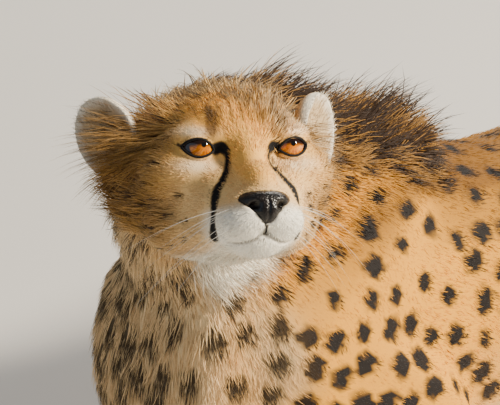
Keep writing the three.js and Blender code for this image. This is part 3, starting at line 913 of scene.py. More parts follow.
@dataclass
class Markings:
    """Where each colour of the coat lies, the same for the skin and the hair."""

    layout: Layout
    form: HeadForm
    paint: Paint
    eyes: tuple[EyeForm, EyeForm]
    spots: Array = field(default_factory=lambda: np.zeros((0, 3)))
    spot_radius: Array = field(default_factory=lambda: np.zeros(0))
    tear: tuple[Way, ...] = (
        (27, -3, -1), (23.5, -5.5, 0.5), (20.3, -7, -2.5), (20, -8.5, -9), (22.5, -14, -16.5),
        (27.5, -20, -25.5),
        (33, -22.5, -32), (37, -25, -41), (38, -26, -52), (37.5, -25, -62), (36, -22, -72),
    )
    lips: tuple[Way, ...] = (
        (0, -50, -68), (8, -46, -73), (15, -42, -75), (23, -34, -77), (33, -20, -75),
    )
    tail_bands: tuple[float, float, float] = (540.0, 45.0, 0.46)
    bib: tuple[Way, ...] = ((150, -285, 335), (112, -252, 300), (96, -216, 270), (88, -200, 250))
    depth: float = -2.2

    def __post_init__(self) -> None:
        """Lays the tear line and the lips on the skin of the face."""
        self.tear_line, self.lip_line = (
            self.form.laid(np.array(path, float), np.full(len(path), self.depth))
            for path in (self.tear, self.lips)
        )

    def spot_share(self, points: Array) -> Array:
        """How much of the spots' black a point takes: 1 inside the nearest one's ragged edge."""
        tree = KDTree(len(self.spots))
        for i, spot in enumerate(self.spots):
            tree.insert(spot, i)
        tree.balance()
        near = np.array([tree.find(p)[1] for p in points])
        size = self.spot_radius[near]
        away = points - self.spots[near]
        ragged = 1.0 + 0.13 * np.sin(away @ row(0.31, 0.23, 0.27) * 2.0 + near * 1.7)
        oval = 1.0 + 0.12 * np.sin(near * 2.4)
        reach = np.linalg.norm(away * np.stack([1 / oval, oval, 1 / oval], 1), axis=1)
        return ease(1.12, 0.86, reach / np.maximum(size * ragged, 0.1)) * (size > 0.1)

    def face(self, points: Array, base: Array) -> Array:
        """The colours of the head, over the base: tan brow and bridge, pale cheeks, tear lines."""
        p = self.paint
        h = self.layout.to_head(points)
        flat = h.copy()
        front = (h[:, 1] < 46.0) & (h[:, 2] > -100.0)
        flat[front] = self.form.laid(h[front], np.full(front.sum(), self.depth), 2)
        folded = mirrored(flat)
        x, y, z = folded.T
        on_head = ease(150.0, 118.0, y)
        low = ease(-6.0, -44.0, z) * ease(74.0, 50.0, x)
        crown = ease(0.0, 14.0, z + 0.10 * y - 0.10 * x) * ease(58.0, 32.0, y) * ease(48.0, 34.0, x)
        wide = 14.0 + 7.0 * ease(-26.0, -4.0, z)
        bridge = ease(1.15, 0.7, x / wide) * ease(-34.0, -22.0, z) * ease(30.0, 6.0, y)
        grey = between(between(p.tawny, p.cream, 0.5), p.smoke, 0.5)
        # temple and behind: the lower sides of the face and the back of the head go towards smoke,
        # partly the coat's own grizzle and partly painted shade on the cheeks
        temple = ease(38.0, 64.0, x) * ease(-6.0, 30.0, y) * ease(-90.0, -56.0, z)
        behind = ease(40.0, 70.0, y + 0.25 * x - 8.0) * ease(-70.0, -30.0, z)
        muzzle = ease(-8.0, -26.0, y) * ease(-36.0, -48.0, z + 0.2 * x)
        chin = ease(-66.0, -78.0, z) * ease(96.0, 50.0, y) * ease(44.0, 24.0, x)
        throat = ease(-72.0, -86.0, z) * ease(-185.0, -135.0, z) * ease(52.0, 26.0, x)
        under = hill(folded, (41, 2, -13.5), (13, 18, 4.2))
        over = hill(folded, (41, 2, 13.5), (12, 16, 3.2))
        throat = 0.85 * throat * ease(120.0, 80.0, y)
        pale = np.maximum.reduce([muzzle, 0.9 * chin, throat, 0.4 * under, 0.45 * over])
        streaks = ease(0.15, 0.8, np.sin(x * 0.75 + 1.6 * mottle(h * row(1, 1, 0.25), 60, 5)))
        bands = streaks * ease(14.0, 26.0, z) * ease(46.0, 32.0, x) * ease(90.0, 30.0, y)
        marks = 1.8 * hill(folded, (28.5, 1, 17.5), (3.2, 14, 5.5))
        marks = marks + 1.2 * hill(folded, (25, 6, 26), (2.8, 14, 6.0))
        dots = np.cos(2.0 * math.pi * (z + 50.0 + 0.15 * y) / 5.2) * np.cos(1.15 * y + 0.4 * z)
        pores = ease(0.45, 0.8, dots) * ease(15.0, 20.0, x) * ease(-42.0, -48.0, z)
        down, share = path_distance(folded, self.tear_line)
        thick = 2.8 + 1.1 * ease(0.4, 0.65, share) + 1.9 * ease(0.18, 0.06, share)
        lip, along = path_distance(folded, self.lip_line)
        split = ease(2.2, 1.0, x) * ease(-70.5, -68.5, z) * ease(-54.0, -58.0, z) * (y < -30)
        layers = (
            (p.sand, on_head * ease(-120.0, -90.0, z)),
            (p.cream, 0.6 * low * on_head),
            (p.brow, 0.95 * crown),
            (between(p.sand, p.brow, 0.4), bridge * 0.9),
            # grey and smoke behind the cheeks and on the temples: partly real grizzle, partly
            # painted shade
            (grey, 0.8 * behind * on_head),
            (between(p.tawny, p.smoke, 0.75), 0.85 * temple * on_head),
            (p.white, np.clip(pale, 0, 1) * on_head),
            (between(p.saddle, p.umber, 0.35), 0.5 * bands),
            (between(p.saddle, p.umber, 0.6), np.clip(marks, 0, 0.85)),
            (p.umber, 0.3 * pores * ease(-70.0, -66.0, z) * (y < -18.0)),
            (p.jet, ease(1.3, 0.8, down / thick) * on_head),
            (p.umber, 0.7 * ease(2.1, 0.8, lip) * ease(0.95, 0.45, along)),
            (p.jet, split),
        )
        colour = base
        for tone, covered in layers:
            colour = between(colour, tone, covered)
        for eye in self.eyes:
            out = eye.outside(h)
            across, rise = eye.angles(h)
            near = apart(h, eye.middle) < 30.0
            broad = np.where(rise > 0.0, 6.6, 4.8)
            colour = between(colour, p.jet, ease(1.6, -0.8, out - broad) * near)
            wing = ease(6.0, 3.0, np.abs(rise - 2.0 - 0.12 * (across - 46.0)))
            wing = wing * ease(88.0, 68.0, across) * (across > 36.0)
            colour = between(colour, p.jet, 0.9 * wing * near)
        return colour

    def colour(self, points: Array, normals: Array, pale: Array, tail: Array) -> Array:
        """The coat's colour at its roots.

        Args:
            points: the roots.
            normals: the skin's outward ways there.
            pale: how far each lies in the pale underside, 0 to 1.
            tail: the share of the tail's length passed, or below 0 off the tail.

        Returns:
            A row of red, green and blue for each.
        """
        p = self.paint
        drift = 0.5 + 0.5 * mottle(points, 130.0, 3)
        # the back's top, where the skin faces up and stands high, is darkened towards the saddle
        # tone: partly the coat's darker back, partly painted shade
        back = ease(0.2, 0.85, normals[:, 2]) * ease(190.0, 285.0, points[:, 2])
        colour = between(p.tawny, p.saddle, np.clip(0.95 * back + 0.25 * drift, 0, 1))
        colour = between(colour, p.cream, pale)
        nape = self.mane(points, normals)
        colour = between(colour, between(p.saddle, p.smoke, 0.5 + 0.4 * drift), 0.8 * nape)
        h = self.layout.to_head(points)
        head = ease(175.0, 120.0, apart(h, row(*HEAD_MIDDLE)))
        colour = between(colour, self.face(points, colour), head)
        away, run = path_distance(points, np.array(self.bib, float))
        white = ease(52.0, 30.0, away + 6.0 * mottle(points, 24.0, 15)) * ease(1.0, 0.7, run)
        white = white * ease(80.0, 110.0, h[:, 1])
        colour = between(colour, p.white, 0.9 * white)
        share = self.spot_share(points) * (1.0 - 0.9 * white)
        faded = np.clip(1.0 - 0.1 * pale * ease(150.0, 60.0, points[:, 1]), 0.4, 1.0)
        colour = between(colour, p.black, share * faded * (1.0 - 0.15 * nape))
        start, pitch, black = self.tail_bands
        run = tail * 1000.0
        band = ease(0.06, 0.0, np.abs((run - start) / (2 * pitch) % 1.0 - 0.5) - 0.5 * black)
        colour = between(colour, p.black, band * (tail > start / 1000.0) * ease(0.97, 0.95, tail))
        return between(colour, p.white, ease(0.94, 0.96, tail))

    def mane(self, points: Array, normals: Array) -> Array:
        """How far each point lies in the mantle of long hair over the nape and the withers."""
        x, y, z = points.T
        line = np.interp(y, [-250.0, -190.0, -120.0, -60.0], [84.0, 40.0, 10.0, 0.0])
        wide = np.interp(y, [-250.0, -180.0, -110.0], [125.0, 100.0, 70.0])
        crest = ease(1.0, 0.4, np.abs(x - line) / wide)
        along = ease(56.0, 0.0, y) * ease(-285.0, -245.0, y)
        return crest * along * ease(0.05, 0.5, normals[:, 2]) * ease(240.0, 285.0, z)

    def brindle(self, points: Array) -> Array:
        """How far dark and pale hairs mix behind the face: crown, temples, ruff and nape."""
        h = self.layout.to_head(points)
        near = ease(170.0, 120.0, apart(h, row(*HEAD_MIDDLE)))
        back = ease(26.0, 74.0, h[:, 1] + 0.35 * np.abs(h[:, 0]) - 12.0)
        return near * back * ease(-95.0, -50.0, h[:, 2])


# ---- the skin ----


@dataclass
class Ears:
    """Two round shallow cups, each the back of a ball with a bowl let into its front."""

    layout: Layout
    centre: Way = (87.0, 92.0, 9.0)
    size: Way = (27.0, 19.0, 36.0)
    bowl: float = 9.0
    turn: float = 46.0
    lean: dict[float, float] = field(default_factory=lambda: {1.0: 14.0, -1.0: 30.0})
    reach: float = 106.0
    rows: int = 17
    columns: int = 44

    def pose(self, side: float) -> Array:
        """The turn from an ear's own frame to the head's."""
        return turn_about(2, side * self.turn) @ turn_about(1, side * self.lean[side])

    def placed(self, local: Array, side: float) -> Array:
        """An ear's own points (across, back, up) in the body's frame."""
        turned = local @ self.pose(side).T
        return self.layout.from_head(turned + row(side, 1, 1) * row(*self.centre))

    def local(self, points: Array, side: float) -> Array:
        """Body points in an ear's own frame, measured in its radii."""
        head = self.layout.to_head(points) - row(side, 1, 1) * row(*self.centre)
        return head @ self.pose(side) / row(*self.size)

    def shell(self, side: float) -> Surface:
        """One ear: out over the back from its pole, round the rim, and back over the bowl.

        On the back a point is the radii times (sin t cos a, cos t, sin t sin a), where t runs
        from the pole to the rim and a runs round. In the bowl it is the rim's own point drawn
        in by a share s, and set back by the bowl's depth times (1 - s^2).
        """
        turn = ring(self.columns)[None, :]
        tilt = np.radians(np.linspace(4.0, self.reach, self.rows))[:, None]
        size = row(*self.size)
        around = np.stack([np.cos(turn), 0.0 * turn, np.sin(turn)], -1)
        back = size * (around * np.sin(tilt)[..., None] + row(0, 1, 0) * np.cos(tilt)[..., None])
        drawn = np.linspace(0.97, 0.04, self.rows)[:, None]
        rim = size * around * math.sin(tilt[-1, 0])
        floor = size[1] * math.cos(tilt[-1, 0]) + self.bowl * (1.0 - drawn**2)
        rib = 0.7 * np.sin(turn * 7.0) * drawn**3
        front = rim * drawn[..., None] + row(0, 1, 0) * (floor + rib)[..., None]
        flat = np.concatenate([back, front]).reshape(-1, 3)
        faces = grid_faces(2 * self.rows, self.columns, False, True)
        poles = row(0, 1, 0) * np.array([[size[1]], [floor[-1, 0]]])
        count = len(flat)
        rim_row = np.arange(self.columns)
        step = np.roll(rim_row, -1)
        last = count - self.columns
        caps = np.concatenate([
            np.stack([np.full_like(rim_row, count), step, rim_row], 1),
            np.stack([np.full_like(rim_row, count + 1), last + rim_row, last + step], 1),
        ])
        placed = self.placed(np.concatenate([flat, poles]), side)
        return Surface(placed, facing_out(placed, np.concatenate([faces, caps])))

    def inside(self, points: Array, side: float) -> Array:
        """How far body points lie in an ear's bowl, and not on its back or its rim."""
        return ease(0.97, 0.88, np.linalg.norm(self.local(points, side), axis=1))


@dataclass
class Lids:
    """The black rims of the eyes: a rounded band carried round each almond."""

    layout: Layout
    radius: float = 16.6
    width: float = 1.05
    thickness: float = 1.0
    count: int = 96
    section: int = 12

    def band(self, eye: EyeForm) -> Surface:
        """A closed ring whose section is an ellipse across the almond's edge.

        The middle of the section stands radius from the eye's middle, in the way of the edge
        moved outward by the band's half width.
        """
        half = math.degrees(self.width / self.radius)
        near, _ = eye.rim(self.count, 0.35 * half)
        far, _ = eye.rim(self.count, 1.35 * half)
        middle = unit(near + far)
        across = unit(far - near)
        turn = ring(self.section)
        c, s = np.cos(turn)[None, :, None], np.sin(turn)[None, :, None]
        loop = (
            middle[:, None] * (self.radius + self.thickness * s)
            + across[:, None] * self.width * c
        )
        placed = self.layout.from_head(eye.middle + loop.reshape(-1, 3))
        faces = grid_faces(self.count, self.section, True, True)
        return Surface(placed, facing_out(placed, faces))


@dataclass
class Skin:
    """The whole hide: flesh solids fused into one surface, set in by the coat's depth."""

    layout: Layout
    form: HeadForm
    eyes: tuple[EyeForm, EyeForm]
    markings: Markings
    ears: Ears
    lids: Lids
    nose: "Nose"
    voxel: float = 0.006
    nose_tip: Way = (0.0, -60.0, -40.0)
    tail_path: tuple[Way, ...] = (
        (0, 505, 222), (0, 556, 192), (4, 596, 132), (8, 640, 66), (18, 706, 27), (44, 790, 20),
        (92, 872, 19), (164, 940, 19), (250, 978, 20), (330, 984, 21), (392, 970, 20),
    )
    lid_slope: float = 0.55
    lid_start: float = 2.6
    lid_reach: float = 12.0
    socket_radius: float = 12.0
    socket_reach: float = 36.0
    bowl_hair: float = 4.0
    coarse_rounds: int = 16
    fine_rounds: int = 4
    fur_rounds: int = 10
    lie_rounds: int = 26
    ground: float = 0.6
    weld_gap: float = 2e-5
    spot_tries: int = 26000
    spots_end: float = 0.55
    seam_angle: float = 1.15
    island_margin: float = 0.002
    seed: int = 11

    def __post_init__(self) -> None:
        """Gathers the flesh nodes and a tree for finding which one a point belongs to."""
        self.kinds = list(FURS)
        self.nodes = sorted(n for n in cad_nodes() if kind_of(n) in FURS)
        backing = {"nose": "head", "eye_left": "head", "eye_right": "head"}
        points, faces, owner = [], [], []
        start = 0
        for name in [*self.nodes, *backing]:
            places, corners = read_mesh(bpy.data.objects[name].data)
            points.append(places)
            faces.append(corners + start)
            owner += [self.kinds.index(backing.get(name, kind_of(name)))] * len(corners)
            start += len(places)
        self.flesh = Surface(np.concatenate(points), np.concatenate(faces))
        self.owner = np.array(owner)
        places = self.layout.from_scene(self.flesh.points)
        self.tree = BVHTree.FromPolygons(places.tolist(), self.flesh.faces.tolist())

    def kinds_at(self, points: Array) -> Array:
        """The number of the coat's region at each point, by the nearest flesh."""
        return self.owner[[self.tree.find_nearest(p)[2] for p in points]]

    def per_kind(self, size: str) -> Array:
        """One of the sizes of every region's fur."""
        return np.array([getattr(FURS[k], size) for k in self.kinds], float)

    def fused(self) -> Surface:
        """The flesh without its ears as one surface, through a voxel remesh."""
        kept = self.owner != self.kinds.index("ear")
        raw = make_piece("fusing", self.flesh.points, self.flesh.faces[kept])
        joiner = raw.modifiers.new("weld", "WELD")
        joiner.merge_threshold = self.weld_gap
        fuse = raw.modifiers.new("fuse", "REMESH")
        fuse.mode = "VOXEL"
        fuse.voxel_size = self.voxel
        done = raw.evaluated_get(bpy.context.evaluated_depsgraph_get()).to_mesh()
        places, corners = read_mesh(done)
        made = Surface(self.layout.from_scene(places), corners)
        bpy.data.objects.remove(raw)
        return self.outer(made)

    @staticmethod
    def outer(surface: Surface) -> Surface:
        """The largest connected shell, found by passing the least point number along edges."""
        pairs, _ = surface.edges()
        mark = np.arange(len(surface.points))
        while True:
            low = np.minimum(mark[pairs[:, 0]], mark[pairs[:, 1]])
            new = mark.copy()
            np.minimum.at(new, pairs[:, 0], low)
            np.minimum.at(new, pairs[:, 1], low)
            new = new[new]
            if (new == mark).all():
                break
            mark = new
        largest = np.bincount(mark).argmax()
        keep = mark == largest
        number = np.cumsum(keep) - 1
        faces = surface.faces[keep[surface.faces[:, 0]]]
        return Surface(surface.points[keep], number[faces])

    def longest(self, points: Array) -> Array:
        """How long an edge may be: least round the eyes and the nose, more towards the rump."""
        h = self.layout.to_head(points)
        made = np.interp(points[:, 1], [0.0, 160.0], [6.6, 9.5])
        off = apart(h, row(0, 20, -20))
        made = np.minimum(made, np.interp(off, [75.0, 150.0, 151.0], [3.4, 6.0, 99.0]))
        face = np.linalg.norm((h - row(0, -14, -32)) / row(1.0, 0.9, 1.15), axis=1)
        made = np.minimum(made, np.interp(face, [42.0, 66.0, 67.0], [2.1, 3.4, 99.0]))
        for eye in self.eyes:
            away = np.linalg.norm(h - eye.middle - row(0, -12, 0), axis=1)
            made = np.minimum(made, np.interp(away, [19.0, 34.0, 35.0], [1.5, 2.7, 99.0]))
        return made * 1.25

    def hair(self, points: Array, normals: Array, kinds: Array) -> Array:
        """The fur's sizes at each point: depth, length, width, tufts to a square centimetre, lift.

        Args:
            points: the outline's points.
            normals: the outward ways there.
            kinds: each point's region.

        Returns:
            A row of the five for each point.
        """
        depth, length, width, crowd, lift = (self.per_kind(size)[kinds] for size in FUR_SIZES)
        h = self.layout.to_head(points)
        folded = mirrored(h)
        x, y, z = folded.T
        head = kinds == self.kinds.index("head")
        back = ease(-45.0, 70.0, y)
        length = np.where(head, 5.0 + 6.0 * back + 6.0 * ease(40, 110, y) * ease(0, 40, z), length)
        depth = np.where(head, 1.8 + 2.2 * back + 3.5 * ease(50, 110, y), depth)
        width = np.where(head, 0.58 + 0.45 * back, width)
        crowd = np.where(head, 66.0 - 46.0 * back, crowd)
        lift = np.where(head, 17.0 + 1.0 * back, lift)
        ruff = head * ease(36.0, 76.0, y) * ease(-110.0, -60.0, z) * ease(28.0, 58.0, x)
        depth = depth + 6.0 * ruff * ease(34.0, 0.0, z)
        parted = 1.0 - np.where(h[:, 0] > 0.0, 0.6, 0.15) * ruff
        crown = head * ease(42.0, 86.0, y) * ease(-8.0, 20.0, z) * parted
        foot = head * self.ear_foot(h)
        cheek = head * ease(38.0, 54.0, x) * ease(0.0, 24.0, y) * ease(-84.0, -56.0, z)
        throat = head * ease(-72.0, -88.0, z) * ease(-20.0, 30.0, y)
        front = ease(-150.0, -230.0, points[:, 1]) * ease(0.1, 0.7, -normals[:, 1]) * ~head
        for place, longer, steeper, deeper in (
            (ruff, 17.0, 12.0, 0.0),
            (crown, 22.0, 34.0, 4.5),
            (foot, 19.0, 18.0, 0.0),
            (cheek, 5.0, 8.0, 0.0),
            (throat, 9.0, 0.0, 0.0),
            (front, 12.0, 0.0, 3.5),
        ):
            length, lift = length + longer * place, lift + steeper * place
            depth = depth + deeper * place
        for eye in self.eyes:
            lash = ease(32.0, 20.0, apart(h, eye.middle)) * head
            length, width = length * (1.0 - 0.4 * lash), width * (1.0 - 0.25 * lash)
        line = head * ease(7.0, 3.5, path_distance(folded, self.markings.tear_line)[0])
        length, lift = length * (1.0 - 0.45 * line), lift * (1.0 - 0.5 * line)
        mane = self.markings.mane(points, normals)
        nape = 1.0 - 0.55 * ease(-130.0, -215.0, points[:, 1])
        length, depth = length + 46.0 * mane * nape, depth + 3.0 * mane
        lift, width = lift + 42.0 * mane * nape, width + 0.45 * mane
        crowd = crowd * (1.0 - 0.2 * mane)
        share = self.tail_share(points, kinds)
        tip = ease(0.80, 0.98, share)
        length, depth, lift = length + 14.0 * tip, depth + 3.0 * tip, lift - 6.0 * tip
        low = ease(14.0, 2.0, points[:, 2])
        depth = depth * (1.0 - 0.75 * low)
        return np.stack([depth, length, width, crowd, lift], 1)

    @staticmethod
    def ear_foot(h: Array) -> Array:
        """How near points of the head's frame are to the front of an ear's foot.

        The long hair there is fuller on the right, where the turned head draws the ruff forward.
        """
        near = ease(48.0, 20.0, apart(mirrored(h), row(*EAR_FOOT)))
        return near * np.where(h[:, 0] > 0.0, 0.15, 1.0)

    def sunk_crest(self, surface: Surface, normals: Array) -> Array:
        """How far the skin lies below the outline along the nape, where the mane stands up."""
        y = surface.points[:, 1]
        drop = np.interp(y, [-250, -200, -150, -95, -60, -20, 50], [10, 15, 20, 25, 18, 9, 3])
        return surface.evened(drop * self.markings.mane(surface.points, normals), 6)

    @staticmethod
    def levelled(surface: Surface) -> Surface:
        """The flesh with its crest lowered over the withers, where long hair alone fills it.

        The line falls from the nape to the back, and lies lower to the sides by the square of
        the distance across over 190. Height above it is cut to 0.12 of itself.
        """
        x, y, z = surface.points.T
        stations = [-160, -110, -60, -20, 20, 60, 100]
        line = np.interp(y, stations, [560, 400, 366, 344, 324, 308, 299])
        over = np.maximum(z - line + x * x / 190.0, 0.0) * (y > -150.0)
        return Surface(np.stack([x, y, z - 0.88 * over], 1), surface.faces)

    def tail_share(self, points: Array, kinds: Array) -> Array:
        """The share of the tail's length that is passed at each point, or -1 off the tail."""
        _, share = path_distance(points, np.array(self.tail_path, float))
        return np.where(kinds == self.kinds.index("tail"), share, -1.0)

    def lie(self, surface: Surface, kinds: Array) -> Array:
        """The way the hair lies: each region's own, evened over the surface and laid along it."""
        p = surface.points
        side = np.sign(p[:, 0])
        ways = np.array([FURS[k].way for k in self.kinds])[kinds]
        ways = ways * np.stack([side, np.ones_like(side), np.ones_like(side)], 1)
        h = self.layout.to_head(p)
        from_nose = unit(h - row(*self.nose_tip)) + row(0, 0.35, 0)
        on_head = kinds == self.kinds.index("head")
        x = np.abs(h[:, 0])
        spread = ease(34.0, 62.0, x) * ease(6.0, 44.0, h[:, 1])
        rise = 0.1 + 1.1 * ease(8.0, 32.0, h[:, 2])
        outward = np.stack([1.1 * np.sign(h[:, 0]), np.full_like(x, -0.3), rise], 1)
        from_nose = unit(from_nose) + outward * (spread + 1.2 * self.ear_foot(h))[:, None]
        ways = np.where(on_head[:, None], unit(from_nose) @ self.layout.head.T, ways)
        chest = (kinds == self.kinds.index("chest"))[:, None]
        down = ease(-110.0, -215.0, p[:, 1])
        ways = np.where(chest, between(ways, row(0, 0.25, -1), down), ways)
        path = np.array(self.tail_path, float)
        spans = unit(np.diff(path, axis=0))
        share = self.tail_share(p, kinds)
        which = np.clip((share * len(spans)).astype(int), 0, len(spans) - 1)
        ways = np.where((share >= 0.0)[:, None], spans[which], ways)
        ways = surface.evened(unit(ways), self.lie_rounds)
        normals = surface.normals()
        return laid_along(ways, normals)

    def shaped_face(self, h: Array, depth: Array) -> Array:
        """The head's skin: laid on its form, closed round the eyeballs and creased at the mouth.

        Args:
            h: points near the head's outline, in its frame.
            depth: how far inside it each belongs.

        Returns:
            The moved points.
        """
        h = self.form.laid(h, -depth)
        slope = unit(self.form.slope(h))
        folded = mirrored(h)
        lip, share = path_distance(folded, self.markings.lip_line)
        groove = 1.7 * np.exp(-((lip / 1.6) ** 2)) * ease(1.0, 0.5, share)
        split = 1.6 * np.exp(-((folded[:, 0] / 1.5) ** 2)) * ease(-70, -66, h[:, 2])
        split = split * ease(-52, -57, h[:, 2]) * (h[:, 1] < -30)
        pad = hill(folded, (16, -44, -59), (9, 12, 8))
        tear, _ = path_distance(folded, self.markings.tear_line)
        rill = 0.7 * np.exp(-((tear / 2.4) ** 2))
        under = self.nose.lowered * self.nose.under(h)
        h = h - slope * (groove + split + rill + under - 1.5 * pad)[:, None]
        for eye in self.eyes:
            h = self.lidded(h, eye)
        return h

    def lidded(self, h: Array, eye: EyeForm) -> Array:
        """The skin round one eye, moved along the eye's axis only.

        Between the lids it sinks to a ball inside the eyeball. Outside them it starts on the
        lids' own ball and may stand off it by the slope times the degrees from the opening.

        Args:
            h: the skin's points in the head's frame.
            eye: the eye.

        Returns:
            The moved points.
        """
        local = (h - eye.middle) @ eye.axes().T
        out = eye.outside(h)
        across, rise = eye.angles(h)
        steep = 1.2 * ease(-8.0, 10.0, rise) + 1.0 * ease(-26.0, -46.0, across)
        flat = local[:, 0] ** 2 + local[:, 2] ** 2
        most = eye.lid_radius + 0.2 + (self.lid_slope + steep) * np.maximum(out, 0.0)
        least = np.where(out < self.lid_reach, eye.lid_radius, 0.0)
        front = [np.sqrt(np.maximum(r * r - flat, 0.0)) for r in (least, most)]
        sunk = np.sqrt(np.maximum(self.socket_radius**2 - flat, 0.0))
        held = np.where(out < self.lid_start, sunk, np.clip(local[:, 1], *front))
        near = (np.linalg.norm(local, axis=1) < self.socket_reach) & (local[:, 1] > 0.0)
        local[:, 1] = np.where(near, held, local[:, 1])
        return eye.middle + local @ eye.axes()

    def build(self) -> None:
        """Works out the surface, and the fur's sizes, lie and colours at its points."""
        base = self.fused()
        LOG.info("fused flesh: %d points", len(base.points))
        kinds = self.kinds_at(base.points)
        ease_off = base.evened(self.per_kind("smoothing")[kinds], 3)
        base = base.smoothed(self.coarse_rounds, ease_off)
        base = self.levelled(base.refined(self.longest))
        kinds = self.kinds_at(base.points)
        ease_off = base.evened(self.per_kind("smoothing")[kinds], 3)
        base = base.smoothed(self.fine_rounds, ease_off)
        normals = base.normals()
        fur = base.evened(self.hair(base.points, normals, kinds), self.fur_rounds)
        inner = base.points - normals * fur[:, :1]
        inner[:, 2] -= self.sunk_crest(base, normals)
        h = self.layout.to_head(base.points)
        off = np.abs(self.form.distance(h))
        hold = ease(15.0, 7.0, off) * ease(118.0, 84.0, h[:, 1])
        for eye in self.eyes:
            ahead = (h - eye.middle) @ eye.axes()[1] > 0.0
            near = ease(38.0, 32.0, apart(h, eye.middle))
            hold = np.maximum(hold, near * ahead)
        chosen = hold > 0.0
        face = self.layout.from_head(self.shaped_face(h[chosen], fur[chosen, 0]))
        inner[chosen] = between(inner[chosen], face, hold[chosen])
        inner[:, 2] = np.maximum(inner[:, 2], self.ground)
        base = Surface(inner, base.faces)
        parts, part_kinds = [base], [kinds]
        for _, side in SIDES:
            shell = self.ears.shell(side)
            parts.append(shell)
            part_kinds.append(np.full(len(shell.points), self.kinds.index("ear")))
        for eye in self.eyes:
            band = self.lids.band(eye)
            parts.append(band)
            part_kinds.append(np.full(len(band.points), -1))
        starts = np.cumsum([0] + [len(s.points) for s in parts[:-1]])
        self.whole = Surface(
            np.concatenate([s.points for s in parts]),
            np.concatenate([s.faces + n for s, n in zip(parts, starts)]),
        )
        self.kind = np.concatenate(part_kinds)
        lids = self.kind < 0
        kinds = np.where(lids, self.kinds.index("head"), self.kind)
        self.normals = self.whole.normals()
        body = len(base.points)
        extra = np.stack([self.per_kind(size)[kinds[body:]] for size in FUR_SIZES], 1)
        bowl = np.maximum.reduce([
            self.ears.inside(self.whole.points[body:], side) for _, side in SIDES
        ])
        extra[:, 1] += self.bowl_hair * bowl * ~lids[body:]
        self.fur = np.concatenate([fur, extra])
        self.way = np.concatenate([
            self.lie(base, kinds[:body]),
            self.ear_lie(self.whole.points[body:], self.normals[body:]),
        ])
        self.tail = self.tail_share(self.whole.points, kinds)
        self.pale = np.concatenate([
            base.evened(self.paleness(base.points, self.normals[:body], kinds[:body]), 8),
            np.zeros(len(extra)),
        ])
        self.markings.spots, self.markings.spot_radius = self.strewn_spots()
        self.tone = self.colours(
            self.whole.points, self.normals, self.pale, self.tail, kinds
        )
        self.tone[lids] = self.markings.paint.jet

    def ear_lie(self, points: Array, normals: Array) -> Array:
        """On an ear the hair lies up and out, away from its foot."""
        h = self.layout.to_head(points)
        foot = row(64, 92, -34) * np.stack([np.sign(h[:, 0]), *np.ones((2, len(h)))], 1)
        ways = unit(h - foot) @ self.layout.head.T
        return laid_along(ways, normals)

    def paleness(self, points: Array, normals: Array, kinds: Array) -> Array:
        """How far points lie in the pale throat, breast, belly and insides of the legs."""
        x, y, _ = points.T
        under = ease(0.0, -0.7, normals[:, 2])
        legs = np.isin(kinds, [self.kinds.index(k) for k in
                               ("upper_arm", "forearm", "thigh", "shank")])
        inner = 0.7 * legs * ease(0.1, 0.8, -normals[:, 0] * np.sign(x))
        breast = ease(0.05, 0.72, -normals[:, 1]) * ease(-70.0, -170.0, y) * ~legs
        return np.clip(np.maximum.reduce([under, inner, breast]), 0.0, 1.0)

    def colours(
        self, points: Array, normals: Array, pale: Array, tail: Array, kinds: Array
    ) -> Array:
        """The coat's colours, with the ears' black backs, tawny feet and pale fronts."""
        tone = self.markings.colour(points, normals, pale, tail)
        paint = self.markings.paint
        for _, side in SIDES:
            local = self.ears.local(points, side)
            on = (kinds == self.kinds.index("ear")) & (
                np.sign(self.layout.to_head(points)[:, 0]) == side
            )
            outer = 1.0 - self.ears.inside(points, side)
            black = outer * ease(0.5, 0.75, local[:, 1]) * ease(-0.5, -0.2, local[:, 2])
            black = black * ease(0.85, 0.7, np.abs(local[:, 2]))
            rim = ease(0.70, 0.95, np.linalg.norm(local[:, [0, 2]], axis=1))
            # the ear's front is cream greyed towards smoke: partly its own tone, partly painted
            # shade inside the bowl; the rim is paler
            front = between(between(paint.cream, paint.smoke, 0.35), paint.white, 0.1 + 0.7 * rim)
            back = ease(0.0, 0.3, local[:, 1])
            ear = between(between(front, paint.tawny, 0.7 * back * outer), paint.black, black)
            tone = np.where(on[:, None], ear, tone)
        return tone

    def scattered(self, weight: Array, count: int, seed: int) -> tuple[Array, Array]:
        """Random places on the skin, crowded as the weight of its faces says.

        Args:
            weight: each face's share.
            count: how many places.
            seed: which draw.

        Returns:
            The faces' numbers, and the shares of each face's three corners.
        """
        rng = np.random.default_rng(seed)
        edges = np.cumsum(weight)
        spread = (np.arange(count) + rng.uniform(0.0, 1.0, count)) / count * edges[-1]
        face = np.minimum(np.searchsorted(edges, spread), len(weight) - 1)
        a, b = rng.uniform(0.0, 1.0, (2, count))
        over = a + b > 1.0
        a, b = np.where(over, 1.0 - a, a), np.where(over, 1.0 - b, b)
        return face, np.stack([1.0 - a - b, a, b], 1)

    def at(self, values: Array, face: Array, corner: Array) -> Array:
        """Values of the skin's points, read inside its faces."""
        picked = values[self.whole.faces[face]]
        return np.einsum("ij,ij...->i...", corner, picked)

